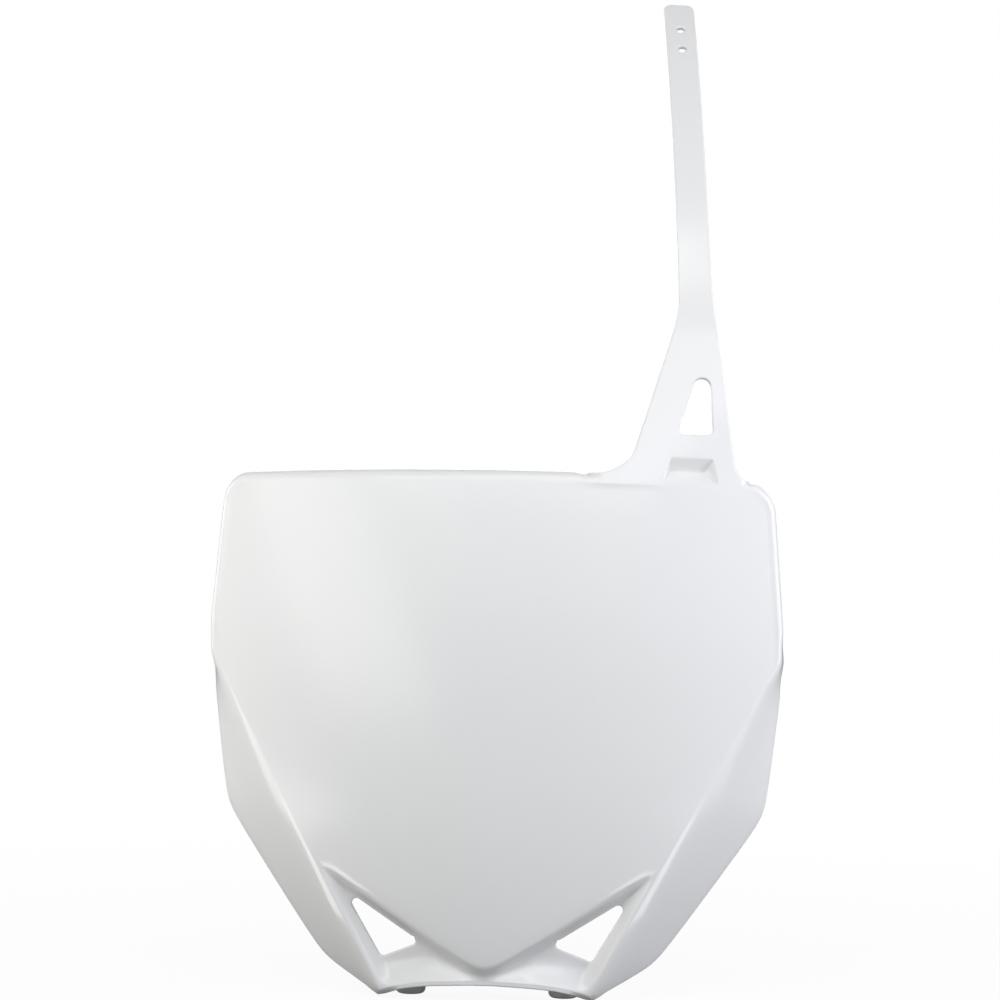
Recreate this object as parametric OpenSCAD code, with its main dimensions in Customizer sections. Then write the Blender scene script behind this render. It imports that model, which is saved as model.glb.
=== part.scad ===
// Front number board of a motocross bike, moulded in one piece with its strap.
// Millimetres. X runs to the right as seen from the front, Y to the rear, Z up.
// The origin is midway between the two locating pegs, on the seat that they stand out of.

/* [Face] */
// Width of the face at its shoulders, the widest place
shoulder_w = 233.8; // [210:0.1:260]
// Width of the face at its top corners
top_w = 222; // [205:0.1:250]
// Width of the face at its foot
foot_w = 86; // [74:0.5:104]
// Height of the top edge's roll line above the seat, at its two ends
top_z = 200.6; // [185:0.5:225]
// Rise of the top edge's middle above its ends
crown = 2.8; // [0:0.1:8]
// Height of the shoulders above the seat
shoulder_z = 131; // [115:1:145]
// Height of the foot's two corners above the seat
foot_z = -6.2; // [-9:0.1:-4]
// Rise of the bottom edge's middle above its corners
arch = 5.2; // [1:0.1:6]
// Radius of the face's left top corner
corner_left = 7.5; // [4:0.5:14]
// Radius of the face's right top corner, which the neck's outer side runs down into
corner_right = 9; // [6:0.5:14]
// Thickness of the moulding
wall = 2.2; // [1.6:0.1:3]

/* [Curves of the face] */
// Place of the face's most forward line, front to rear
belly_y = -26; // [-32:0.5:-20]
// Height of that line above the seat
belly_z = 105; // [90:1:120]
// Radius of the face from top to bottom
belly_r = 836; // [600:1:1200]
// Radius of the face from side to side
bow_r = 250; // [220:1:400]
// Slope that the keel adds to each side at the foot
keel = 0.06; // [0:0.01:0.12]
// Half-width of the keel's rounding
keel_soft = 8; // [4:0.5:14]
// Height at which the keel has run out
keel_top_z = 150; // [120:1:180]

/* [Shield point and lower panel] */
// Height of the shield's point above the seat
tip_z = 4.8; // [4:0.1:7]
// Slope of the shield's two lower edges
vee_slope = 0.652; // [0.5:0.01:0.75]
// Rounding of the point
vee_soft = 7; // [4:0.5:12]
// Height of the step under the shield, seen from the front
step_run = 3.8; // [3:0.1:4.6]
// Depth of the lower panel below the face
recess = 6.5; // [4:0.5:8]
// Share of that depth that is left out under the point
tip_share = 0.68; // [0.5:0.01:0.8]
// Reach of that shallower part to each side
tip_reach = 14; // [8:1:24]
// Width of the slope between the panel and each side ridge
ridge_run = 8; // [5:0.5:12]
// Height over which the panel sweeps forward to the bottom lip
flare_h = 11; // [7:0.5:14]

/* [Side wings, top lip and bottom lip] */
// Width of the fold-back beside the upper face
flange_out = 3.2; // [2.6:0.1:5]
// Depth of the fold-back beside the upper face
flange_back = 12; // [8:0.5:18]
// Rise of the top lip above the roll line
lip_out = 4.6; // [3:0.1:7]
// Depth of the top lip
lip_back = 11; // [7:0.5:16]
// Height of each wing's upper corner
wing_high_z = 79; // [70:1:95]
// Width of each wing at its upper corner
wing_high_out = 27.2; // [20:0.1:32]
// Depth of each wing at its upper corner
wing_high_back = 27; // [20:0.5:32]
// Height of each wing's lower corner
wing_low_z = 13; // [11:1:24]
// Width of each wing at its lower corner
wing_low_out = 17.4; // [12:0.1:20]
// Depth of each wing at its lower corner
wing_low_back = 17; // [12:0.5:20]
// Width of each wing at the foot
wing_foot_out = 2.4; // [1.5:0.1:3.5]
// Depth of each wing at the foot
wing_foot_back = 2.6; // [2:0.1:4]
// Rounding of the ridges between face and wings
ridge_r = 4; // [2:0.5:7]
// Height of the upright land along the bottom lip
bottom_land = 1.4; // [1.2:0.1:2.4]

/* [Windows in the lower panel] */
// Upper outer corner of each window, across and up
window_high = [55.4, 29.9];
// Inner corner of each window, across and up
window_in = [29, 13.5];
// Lower corner of each window, across and up
window_low = [42.7, 7.2];
// Radius of each window's corners
window_r = 1.8; // [1:0.1:3]

/* [Strap] */
// Middle of the strap where it leaves the face, across
strap_x = 83.4; // [78:0.1:88]
// Half-width of the neck's inner side at its root
neck_left = 30.6; // [24:0.1:34]
// Half-width of the neck's outer side at its root
neck_right = 16.5; // [13:0.1:18]
// Height of the neck's inner taper
neck_left_h = 73; // [60:1:90]
// Height of the neck's outer taper
neck_right_h = 80; // [66:1:95]
// Fillet between the neck's inner side and the top lip
fillet_left = 12; // [8:0.5:15]
// Fillet between the neck's outer side and the right top corner
fillet_right = 10; // [6:0.5:13]
// Length of the neck up to its bend
neck_len = 65; // [55:1:75]
// Lean of the neck to the rear, in degrees
neck_lean = 14; // [8:0.5:20]
// Length of the strap above the bend
strap_len = 174.5; // [150:0.5:210]
// Width of the strap
strap_w = 13.2; // [10:0.1:16]
// Thickness of the strap and its neck
strap_t = 2.2; // [1.6:0.1:3]
// Lean of the strap just above the bend, in degrees
strap_lean = 20; // [15:0.5:26]
// Lean of the strap at its tip, in degrees
tip_lean = 40; // [32:0.5:50]
// Turn of the strap about the upright axis, in degrees
strap_turn = 8.5; // [4:0.5:12]
// Radius of the strap's tip corners
tip_r = 3.6; // [2:0.1:5]
// Radius of the two strap holes
hole_r = 2; // [1.5:0.1:2.4]
// Distance of the first hole from the tip
hole_end = 16; // [10:0.5:20]
// Distance between the two holes
hole_pitch = 11.8; // [9:0.1:15]

/* [Slot and pocket in the neck] */
// Top of the slot's round head, across and up from the root
slot_head = [83.9, 42.1];
// Radius of the slot's round head
slot_head_r = 3.7; // [2.5:0.1:4.5]
// Left lower corner of the slot, across and up from the root
slot_left = [77.6, 24.7];
// Right lower corner of the slot, across and up from the root
slot_right = [86.6, 24.7];
// Radius of the slot's lower corners
slot_r = 2.5; // [1.5:0.1:3]
// Middle of the pocket, across
pocket_x = 80.5; // [78:0.1:83]
// Width of the pocket at its lower edge
pocket_w = 23.4; // [18:0.1:26]
// Taper of each of the pocket's sides over its height
pocket_taper = 3; // [0:0.1:4]
// Height of the pocket
pocket_h = 11; // [8:0.1:13]
// Distance of the pocket's lower edge above the roll line
pocket_up = 1.6; // [1:0.1:3]
// Depth of the pocket at its top
pocket_deep = 6; // [4:0.1:8]
// Draft of the pocket's top wall and outer wall
pocket_draft = 4; // [1:0.1:5]

/* [Pegs, shelf and strap button] */
// Radius of the two locating pegs
peg_r = 6.2; // [5:0.1:7]
// Distance between the pegs
peg_gap = 63.4; // [58:0.1:68]
// Length of the pegs below the shelf
peg_len = 9; // [7:0.5:14]
// Rounding of the pegs' lower ends
peg_round = 2; // [1:0.1:3]
// Width of the shelf round each peg
shelf_margin = 2.2; // [1.5:0.1:3]
// Thickness of the shelf
shelf_t = 2.4; // [1.8:0.1:3]
// Distance of the shelf's ribs from the middle
rib_x = 13; // [9:0.5:17]
// Thickness of the ribs
rib_t = 1.8; // [1.2:0.1:2.4]
// Height of the ribs above the shelf
rib_h = 20; // [12:0.5:26]
// Middle of the strap button, across and up
button_place = [82, 186];
// Radius of the button's stem
stem_r = 1.8; // [1.3:0.1:1.9]
// Length of the stem
stem_len = 4.6; // [3:0.1:7]
// Radius of the button's head
head_r = 3.1; // [2.6:0.1:4]
// Thickness of the head
head_t = 1.6; // [1:0.1:2.5]

/* [Hidden] */

// Facets of round features
round_fn = 48;
// Steps of the face's mesh across each half, and up each of its three stretches
cols_half = 12;
rows_panel = 7;
rows_wing = 10;
rows_top = 9;
// Rings of the fold-back round the face, and how many of them make the roll of the upper fold-back
rings = 5;
roll_rings = 3;
// How much closer the columns lie at the ridges than in the middle
col_ease = 0.4;
// How much closer the first rings lie to the ridge than the last, the neck's first rows to its root,
// and the face's last rows to its top edge
ring_ease = 1.6;
neck_ease = 1.5;
top_ease = 1.5;
// Rounds of the search for the place where the shield edge meets the ridge
solve_steps = 16;
// Largest share of the lower panel's height that its flare takes
flare_share = 0.9;
// Rounding of the wings' corners and of the neck's tapers
wing_soft = 3;
neck_soft = 1.5;
// Stretch above and below the shoulder over which the wing becomes the upper fold-back
shoulder_blend = 14;
// Stretch of the bottom edge over which each wing's foot becomes the bottom lip
foot_blend = 9;
// Largest lengthening of the wall's offset at a sharp fold
mitre_limit = 1.4;
// Largest lengthening of the wall's depth where the face slants
slant_limit = 1.7;
// Exponents of the bottom edge's arch and of the keel
arch_power = 3;
keel_power = 1.5;
// How far the strap's root lies below the face's skin, how far it runs down behind it,
// and how far the top lip tucks in behind the neck's skin
root_sink = 0.3;
root_down = 8;
root_tuck = 0.8;
// Depth of the pocket's floor at its lower edge, wall of the pocket's box, and the share of the neck's
// thickness at which that box starts
pocket_lip = 0.3;
pocket_wall = 1.8;
pocket_root = 0.7;
// Height over which the neck loses the bow of the face
neck_unbow = 60;
// Top lip: width of the change to the neck's flush root, and the share of it that lies beside the neck
root_blend = 12;
root_early = 0.8;
// Least share of the side fold-back in the round top corner
corner_least = 0.5;
// How far below the top of the lip the neck's inner fillet starts
fillet_early = 0.4;
// Share of the tip's round corner that is modelled, so that its end stays an edge
tip_full = 0.999;
// Steps of the strap's mesh
neck_steps = 16;
strap_steps = 14;
tip_steps = 5;
across_steps = 6;
// Share of the wall that the shelf and its ribs run into
weld = 0.75;
// Steps of the shelf's and the ribs' front edges
shelf_steps = 16;
shelf_layers = 3;
rib_steps = 10;
// Clearance that a cut runs past a face
cut = 1;

// Basic functions
function mix(a, b, t) = a + (b - a) * t;
function clamp01(t) = min(1, max(0, t));
function smooth(t) = let (c = clamp01(t)) c * c * (3 - 2 * c);
function smooth_min(a, b, k) = (a + b - sqrt((a - b) * (a - b) + k * k)) / 2;
function smooth_max(a, b, k) = (a + b + sqrt((a - b) * (a - b) + k * k)) / 2;
function unit(v) = v / norm(v);
function line_at(z, z0, v0, z1, v1) = v0 + (v1 - v0) * (z - z0) / (z1 - z0);

// Outline of the face: half-width at a height, top edge, shield edge and bottom edge
function side_x(z) = z < shoulder_z
    ? line_at(z, foot_z, foot_w / 2, shoulder_z, shoulder_w / 2)
    : line_at(z, shoulder_z, shoulder_w / 2, top_z, top_w / 2);
function top_line(u) = top_z + crown * (1 - u * u);
function vee_line(x) = tip_z + vee_slope * (sqrt(x * x + vee_soft * vee_soft) - vee_soft);
function step_line(x) = vee_line(x) - step_run;
function bottom_line(x) = foot_z + arch * (1 - pow(clamp01(abs(x) / (foot_w / 2)), arch_power));
// Half-width at which the shield edge, lowered by drop, meets the side ridge
function vee_end(drop, x = foot_w / 2, n = solve_steps) =
    n == 0 ? x : vee_end(drop, side_x(vee_line(x) - drop), n - 1);

// Depth of the face without its recess: an arc from top to bottom, an arc from side to side,
// and a keel that grows downwards
function keel_at(z) = keel * pow(clamp01((keel_top_z - z) / (keel_top_z - tip_z)), keel_power);
function skin_y(x, z) = belly_y + belly_r - sqrt(belly_r * belly_r - pow(z - belly_z, 2))
    + bow_r - sqrt(bow_r * bow_r - x * x)
    + keel_at(z) * (sqrt(x * x + keel_soft * keel_soft) - keel_soft);
// Depth of the recess under the shield: a step, a flat panel, a slope at each ridge and a flare
function recess_y(x, z) =
    let (deep = recess * (1 - tip_share * exp(-pow(x / tip_reach, 2))),
        step = clamp01((vee_line(x) - z) / step_run),
        flare_run = min(flare_h, flare_share * (step_line(x) - bottom_line(x))),
        flare = sin(90 * clamp01((z - bottom_line(x)) / flare_run)),
        edge = smooth((side_x(z) - abs(x)) / ridge_run))
    deep * step * flare * edge;
function face_y(x, z) = skin_y(x, z) + recess_y(x, z);

// Mesh of the face: columns from ridge to ridge, rows from the bottom edge to the top edge
vee_x = vee_end(0);
step_x = vee_end(step_run);
last_col = 2 * cols_half;
last_row = rows_panel + 1 + rows_wing + rows_top;
function column(i) = let (s = (i - cols_half) / cols_half) s * (1 + col_ease - col_ease * s * s);
function row_z(u, j) = j <= rows_panel
    ? mix(bottom_line(u * foot_w / 2), step_line(u * step_x), j / rows_panel)
    : let (k = j - rows_panel - 1,
        knee = (shoulder_z - vee_line(vee_x)) / (top_z - vee_line(vee_x)),
        t = k <= rows_wing ? knee * k / rows_wing
            : mix(knee, 1, 1 - pow(1 - (k - rows_wing) / rows_top, top_ease)))
    mix(vee_line(u * vee_x), top_line(u), t);
function corner_r(x) = x < 0 ? corner_left : corner_right;
// A square corner is drawn in to a round one: each square about the corner's centre becomes a circle
function rounded(p) =
    let (r = corner_r(p.x),
        c = [side_x(top_z) - r, top_z - r],
        a = [abs(p.x) - c.x, p.y - c.y],
        big = max(a.x, a.y))
    a.x <= 0 || a.y <= 0 ? p : let (q = c + a * big / norm(a)) [sign(p.x) * q.x, q.y];
function face_xz(i, j) =
    let (u = column(i), x = u * side_x(row_z(1, j)), z = row_z(u, j), drop = crown * (1 - u * u))
    z > top_z - corner_r(x) + drop
        ? let (p = rounded([x, z - drop])) [p.x, p.y + drop]
        : [x, z];
function face_point(i, j) = let (p = face_xz(i, j)) [p.x, face_y(p.x, p.y), p.y];
face = [for (j = [0:last_row]) [for (i = [0:last_col]) face_point(i, j)]];

// Edge of the face as one loop: bottom, right side, top, left side
edge = concat(
    [for (i = [0:last_col - 1]) face[0][i]],
    [for (j = [0:last_row - 1]) face[j][last_col]],
    [for (i = [last_col:-1:1]) face[last_row][i]],
    [for (j = [last_row:-1:1]) face[j][0]]);
loop = len(edge);
function at_loop(list, p) = list[(p + loop) % loop];
function is_bottom(p) = p <= last_col;
function is_top(p) = p >= last_col + last_row && p <= 2 * last_col + last_row;
function edge_out(p) =
    let (d = at_loop(edge, p + 1) - at_loop(edge, p - 1)) unit([d.z, -d.x]);

// Fold-back round the face: how far out and how far to the rear its last ring lies
function wing_size(z, high, low, foot, top) = smooth_min(
    line_at(z, shoulder_z, top, wing_high_z, high),
    smooth_min(
        line_at(z, wing_low_z, low, wing_high_z, high),
        line_at(z, foot_z, foot, wing_low_z, low), wing_soft), wing_soft);
function side_size(z) = let (t = smooth((z - shoulder_z + shoulder_blend) / (2 * shoulder_blend))) [
    mix(wing_size(z, wing_high_out, wing_low_out, wing_foot_out, flange_out), flange_out, t),
    mix(wing_size(z, wing_high_back, wing_low_back, wing_foot_back, flange_back), flange_back, t)];
// 1 where the top lip gives way to the strap's root, 0 elsewhere
function at_root(x) = let (inner = strap_x - neck_left, outer = strap_x + neck_right)
    smooth((x - inner) / root_blend + root_early) * smooth((outer - x) / root_blend + root_early);
root_back = lip_out * tan(neck_lean) + root_sink + root_tuck;
function top_size(x) = [lip_out, mix(lip_back, root_back, at_root(x))];
function corner_share(p) = let (e = edge[p], r = corner_r(e.x))
    smooth((abs(e.x) - side_x(top_z) + r) / r) * smooth((top_z - e.z) / r);
function fold_size(p) = let (e = edge[p])
    is_bottom(p) ? mix([bottom_land, 0], [wing_foot_out, wing_foot_back],
        smooth((abs(e.x) - foot_w / 2 + foot_blend) / foot_blend))
    : is_top(p) ? mix(top_size(e.x), side_size(e.z), corner_share(p))
    : e.z > top_z - corner_r(e.x) ? mix(top_size(e.x), side_size(e.z), max(corner_share(p), corner_least))
    : side_size(e.z);
// Share of the rolled section, the rest being the straight section of the wings and the strap's root
function roll_share(p) = let (e = edge[p])
    is_bottom(p) ? 0 : is_top(p) ? 1 - at_root(e.x)
    : smooth((e.z - shoulder_z + shoulder_blend) / (2 * shoulder_blend));
function fold_point(p, k) =
    let (e = edge[p], n = edge_out(p), size = fold_size(p), q = pow(k / rings, ring_ease),
        slope = (skin_y(e.x, e.z) - skin_y(e.x - n.x, e.z - n.y)),
        face_dir = unit([1, slope]), wing_dir = unit(size), len = norm(size),
        soft = min(ridge_r, len / 3), gone = 1 - exp(-len / soft),
        straight = q * (size - soft * gone * (face_dir - wing_dir))
            + soft * (1 - exp(-q * len / soft)) * (face_dir - wing_dir),
        bow = 90 * min(1, k / roll_rings),
        rolled = [size[0] * sin(bow),
            size[0] * (1 - cos(bow)) + (size[1] - size[0]) * max(0, k - roll_rings) / (rings - roll_rings)],
        s = mix(straight, rolled, roll_share(p)))
    [e.x + n.x * s[0], e.y + s[1], e.z + n.y * s[0]];
fold = [for (k = [0:rings]) [for (p = [0:loop - 1]) k == 0 ? edge[p] : fold_point(p, k)]];

// Inner skin: each point moved in by the wall along its normal, a little further at a fold.
// Near the foot, where folds crowd, the points move straight to the rear instead.
function bend(a, b, c) = let (t = unit(b - a) * unit(c - b)) min(mitre_limit, sqrt(2 / (1 + max(t, 0))));
function along(a, b, c) = unit(b - a) + unit(c - b);
function inward(p, left, right, low, high, straight) =
    let (n = -unit(cross(along(left, p, right), along(low, p, high))),
        fold_factor = max(bend(left, p, right), bend(low, p, high)),
        dir = unit(mix(n, [0, 1, 0], straight)))
    p + dir * wall * mix(fold_factor, min(slant_limit, 1 / (dir * n)), straight);
function straight_share(p) = is_bottom(p) ? 1 : 1 - smooth((edge[p].z - foot_z) / (wing_low_z - foot_z));
function loop_of(i, j) = j == 0 ? i : i == last_col ? last_col + j
    : j == last_row ? 2 * last_col + last_row - i : loop - j;
function near_face(i, j, di, dj) =
    let (a = i + di, b = j + dj)
    a < 0 || a > last_col || b < 0 || b > last_row ? fold[1][loop_of(i, j)] : face[b][a];
function on_edge(i, j) = i == 0 || i == last_col || j == 0 || j == last_row;
function inner_face(i, j) = inward(face[j][i],
    near_face(i, j, -1, 0), near_face(i, j, 1, 0), near_face(i, j, 0, -1), near_face(i, j, 0, 1),
    on_edge(i, j) ? straight_share(loop_of(i, j)) : 1);
inner = [for (j = [0:last_row]) [for (i = [0:last_col]) inner_face(i, j)]];
function inner_fold(p, k) = inward(fold[k][p],
    fold[k - 1][p], k == rings ? 2 * fold[k][p] - fold[k - 1][p] : fold[k + 1][p],
    at_loop(fold[k], p - 1), at_loop(fold[k], p + 1), straight_share(p));

// The closed shell: face, fold-back, their inner copies, and the rim that joins them
face_count = (last_col + 1) * (last_row + 1);
half_count = face_count + rings * loop;
function face_id(i, j) = j * (last_col + 1) + i;
function edge_id(p) = let (q = (p + loop) % loop)
    q <= last_col ? face_id(q, 0)
    : q <= last_col + last_row ? face_id(last_col, q - last_col)
    : q <= 2 * last_col + last_row ? face_id(2 * last_col + last_row - q, last_row)
    : face_id(0, loop - q);
function fold_id(p, k) = k == 0 ? edge_id(p) : face_count + (k - 1) * loop + (p + loop) % loop;
function quad(a, b, c, d) = [[a, b, c], [a, c, d]];
shell_points = concat(
    [for (row = face) each row],
    [for (k = [1:rings]) each fold[k]],
    [for (row = inner) each row],
    [for (k = [1:rings]) for (p = [0:loop - 1]) inner_fold(p, k)]);
outer_faces = concat(
    [for (j = [0:last_row - 1]) for (i = [0:last_col - 1])
        each quad(face_id(i, j), face_id(i, j + 1), face_id(i + 1, j + 1), face_id(i + 1, j))],
    [for (k = [0:rings - 1]) for (p = [0:loop - 1])
        each quad(fold_id(p, k), fold_id(p + 1, k), fold_id(p + 1, k + 1), fold_id(p, k + 1))]);
inner_faces = [for (f = outer_faces) [f[0] + half_count, f[2] + half_count, f[1] + half_count]];
rim_faces = [for (p = [0:loop - 1]) each quad(
    fold_id(p, rings), fold_id(p + 1, rings),
    fold_id(p + 1, rings) + half_count, fold_id(p, rings) + half_count)];

// Strap: a path that leaves the roll line at the neck's lean, bends, and follows an arc to the tip
root_z = top_line(strap_x / side_x(top_z));
root_y = skin_y(strap_x, root_z) + root_sink;
strap_r = strap_len / ((tip_lean - strap_lean) * PI / 180);
function lean_at(s) = s < neck_len ? neck_lean : strap_lean + (s - neck_len) / strap_r * 180 / PI;
// Distance to the rear and up, at a length s along the path
function path_at(s) = s <= neck_len
    ? s * [sin(neck_lean), cos(neck_lean)]
    : neck_len * [sin(neck_lean), cos(neck_lean)]
        + strap_r * [cos(strap_lean) - cos(lean_at(s)), sin(lean_at(s)) - sin(strap_lean)];
function side_width(s, root, tall) =
    smooth_max(strap_w / 2, mix(root, strap_w / 2, path_at(s)[1] / tall), neck_soft);
// Extra width of a root fillet whose circle has its middle at a height, and which stops below the middle
// at a share of its radius
function fillet_width(s, r, middle, stop = 1) = let (h = min(stop * r, max(0, middle - path_at(s)[1])))
    r - sqrt(r * r - h * h);
// The outer fillet's circle touches the circle that the top lip runs round the right corner
round_lip = corner_right + lip_out;
fillet_side = strap_x + neck_right + fillet_right - side_x(top_z) + corner_right;
fillet_stop = sqrt(max(0, 1 - pow(fillet_side / (round_lip + fillet_right), 2)));
fillet_middle = (round_lip + fillet_right) * fillet_stop - corner_right + top_z - root_z;
function tip_width(s) = let (h = max(0, tip_r - (neck_len + strap_len - s)))
    tip_r - sqrt(max(0, tip_r * tip_r - h * h));
function strap_sides(s) = [
    side_width(s, neck_left, neck_left_h)
        + fillet_width(s, fillet_left, lip_out - fillet_early + fillet_left) - tip_width(s),
    side_width(s, neck_right, neck_right_h)
        + fillet_width(s, fillet_right, fillet_middle, fillet_stop) - tip_width(s)];
function strap_mid(s) = strap_x - path_at(s)[0] * tan(strap_turn);
// A point of the strap's front skin, at a length s and a place x across
function strap_skin(x, s) =
    let (p = path_at(s), flat = (x - strap_mid(s)) * tan(strap_turn),
        bowed = skin_y(x, root_z) - skin_y(strap_x, root_z), t = smooth(p[1] / neck_unbow))
    [x, root_y + p[0] + mix(bowed, flat, t), root_z + p[1]];
function strap_back(s) = let (a = lean_at(s))
    [-sin(strap_turn) * cos(a), cos(strap_turn) * cos(a), -sin(a)];
function strap_front_point(s, a) = let (w = strap_sides(s), m = strap_mid(s))
    strap_skin(mix(m - w[0], m + w[1], a), s);
// Below the roll line the root follows the face down, sunk into its wall
function root_point(a) = let (w = strap_sides(0), x = mix(strap_x - w[0], strap_x + w[1], a))
    [x, skin_y(x, root_z - root_down) + root_sink, root_z - root_down];
strap_stations = concat(
    [for (k = [0:neck_steps]) neck_len * pow(k / neck_steps, neck_ease)],
    [for (k = [1:strap_steps]) neck_len + (strap_len - tip_r) * k / strap_steps],
    [for (k = [1:tip_steps]) neck_len + strap_len - tip_r + tip_r * sin(90 * k / tip_steps) * tip_full]);
strap_rows = concat(
    [[for (a = [0:across_steps]) root_point(a / across_steps)]],
    [for (s = strap_stations) [for (a = [0:across_steps]) strap_front_point(s, a / across_steps)]]);
strap_rears = concat(
    [[for (a = [0:across_steps]) root_point(a / across_steps) + strap_t * strap_back(0)]],
    [for (s = strap_stations) [for (a = [0:across_steps])
        strap_front_point(s, a / across_steps) + strap_t * strap_back(s)]]);
last_station = len(strap_rows) - 1;
strap_half = (last_station + 1) * (across_steps + 1);
function strap_id(a, k, rear = 0) = rear * strap_half + k * (across_steps + 1) + a;
strap_faces = concat(
    [for (k = [0:last_station - 1]) for (a = [0:across_steps - 1])
        each quad(strap_id(a, k), strap_id(a, k + 1), strap_id(a + 1, k + 1), strap_id(a + 1, k))],
    [for (k = [0:last_station - 1]) for (a = [0:across_steps - 1])
        each quad(strap_id(a, k, 1), strap_id(a + 1, k, 1), strap_id(a + 1, k + 1, 1), strap_id(a, k + 1, 1))],
    [for (k = [0:last_station - 1])
        each quad(strap_id(0, k), strap_id(0, k, 1), strap_id(0, k + 1, 1), strap_id(0, k + 1))],
    [for (k = [0:last_station - 1])
        each quad(strap_id(across_steps, k), strap_id(across_steps, k + 1),
            strap_id(across_steps, k + 1, 1), strap_id(across_steps, k, 1))],
    [for (a = [0:across_steps - 1])
        each quad(strap_id(a, 0), strap_id(a + 1, 0), strap_id(a + 1, 0, 1), strap_id(a, 0, 1))],
    [for (a = [0:across_steps - 1])
        each quad(strap_id(a, last_station), strap_id(a, last_station, 1),
            strap_id(a + 1, last_station, 1), strap_id(a + 1, last_station))]);

// Outline of a belt drawn tight round circles, each given as [x, y, r], in anticlockwise order
function belt_side(a, b) =
    let (d = [b.x - a.x, b.y - a.y], turn = atan2(d.y, d.x) - acos((a.z - b.z) / norm(d)))
    [[a.x, a.y] + a.z * [cos(turn), sin(turn)], [b.x, b.y] + b.z * [cos(turn), sin(turn)]];
module belt(circles) {
    n = len(circles);
    polygon([for (i = [0:n - 1]) each belt_side(circles[i], circles[(i + 1) % n])]);
    for (c = circles)
        translate([c.x, c.y])
            circle(r = c.z, $fn = round_fn);
}

// The flat outline lies in X and Z, and the cut runs from front to rear
module through_cut(y0, y1) {
    translate([0, y1, 0])
        rotate([90, 0, 0])
            linear_extrude(height = y1 - y0)
                children();
}

module plate_shell() {
    polyhedron(points = shell_points, faces = concat(outer_faces, inner_faces, rim_faces), convexity = 12);
}

module strap_band() {
    polyhedron(points = concat([for (row = strap_rows) each row], [for (row = strap_rears) each row]),
        faces = strap_faces, convexity = 8);
}

// Window through the lower panel: a triangle with round corners
module window(side) {
    corners = [window_low, window_high, window_in];
    middle = (window_low + window_high + window_in) / 3;
    centres = [for (c = corners) c + unit(middle - c) * window_r];
    mirror([side < 0 ? 1 : 0, 0])
        belt([for (c = centres) [c.x, c.y, window_r]]);
}

module windows() {
    for (side = [-1, 1])
        through_cut(belly_y - cut, wing_high_back)
            window(side);
}

// Slot through the neck: narrow and round above, square with round corners below
module slot() {
    through_cut(belly_y, path_at(neck_len)[0] + neck_right)
        translate([0, root_z])
            belt([[slot_left.x, slot_left.y, slot_r], [slot_right.x, slot_right.y, slot_r],
                [slot_head.x, slot_head.y, slot_head_r]]);
}

module strap_holes() {
    for (d = [hole_end, hole_end + hole_pitch]) {
        s = neck_len + strap_len - d;
        translate(strap_skin(strap_mid(s), s) - cut * strap_back(s))
            rotate([-90 - lean_at(s), 0, strap_turn])
                cylinder(r = hole_r, h = strap_t + 2 * cut, $fn = round_fn);
    }
}

// A point at a place across and up on the neck, and at a depth below its skin
function neck_point(x, z, depth) = strap_skin(x, z / cos(neck_lean)) + depth * strap_back(0);
// The pocket, or with a wall of its own thickness round it the box that stands proud behind the neck.
// Its floor starts flush at the lower edge and falls away upwards; its roof and outer side are drafted.
floor_slope = (pocket_deep - pocket_lip) / (pocket_h - pocket_draft);
side_slope = pocket_draft / pocket_deep;
function slant(slope) = sqrt(1 + slope * slope);
function pocket_floor(z, grow) = pocket_lip + floor_slope * (z - pocket_up) + grow * slant(floor_slope);
function pocket_roof(depth, grow) = pocket_up + pocket_h - side_slope * depth + grow * slant(side_slope);
function pocket_left(z, grow) = pocket_x - pocket_w / 2 + pocket_taper * (z - pocket_up) / pocket_h - grow;
function pocket_right(z, depth, grow) = pocket_x + pocket_w / 2 - pocket_taper * (z - pocket_up) / pocket_h
    - side_slope * depth + grow * slant(side_slope);
function pocket_pair(z, depth, grow) = [
    neck_point(pocket_left(z, grow), z, depth), neck_point(pocket_right(z, depth, grow), z, depth)];
module pocket_form(grow, near, low) {
    floor_z = pocket_up + (low - pocket_floor(pocket_up, grow)) / floor_slope;
    deep = pocket_floor(pocket_roof(0, grow), grow) / (1 + floor_slope * side_slope);
    corners = concat(
        pocket_pair(floor_z, near, grow), pocket_pair(pocket_roof(near, grow), near, grow),
        pocket_pair(floor_z, low, grow), pocket_pair(pocket_roof(deep, grow), deep, grow));
    polyhedron(points = corners, faces = concat(
        quad(0, 2, 3, 1), quad(4, 5, 7, 6), quad(0, 1, 5, 4), quad(2, 6, 7, 3), quad(0, 4, 6, 2), quad(1, 3, 7, 5)));
}

// Shelf behind the lower panel: its front edge ends inside the panel's wall
function wall_y(x, z) = face_y(x, z) + weld * wall;
shelf_r = peg_r + shelf_margin;
shelf_x = peg_gap / 2 + shelf_r;
module shelf() {
    linear_extrude(height = shelf_t)
        belt([[-peg_gap / 2, 0, shelf_r], [peg_gap / 2, 0, shelf_r]]);
    layer = shelf_t / shelf_layers;
    for (k = [0:shelf_layers - 1])
        translate([0, 0, k * layer])
            linear_extrude(height = layer)
                polygon(concat(
                    [for (i = [0:shelf_steps]) let (x = mix(-shelf_x, shelf_x, i / shelf_steps))
                        [x, wall_y(x, (k + 0.5) * layer)]],
                    [[shelf_x, 0], [-shelf_x, 0]]));
}

// Upright rib between the shelf and the rear of the shield
module rib(x) {
    z0 = shelf_t / 2;
    z1 = shelf_t + rib_h;
    translate([x - rib_t / 2, 0, 0])
        rotate([90, 0, 90])
            linear_extrude(height = rib_t)
                polygon(concat(
                    [[peg_r, z0], [wall_y(x, z1) + wall, z1]],
                    [for (i = [rib_steps:-1:0]) let (z = mix(z0, z1, i / rib_steps)) [wall_y(x, z), z]]));
}

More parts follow.
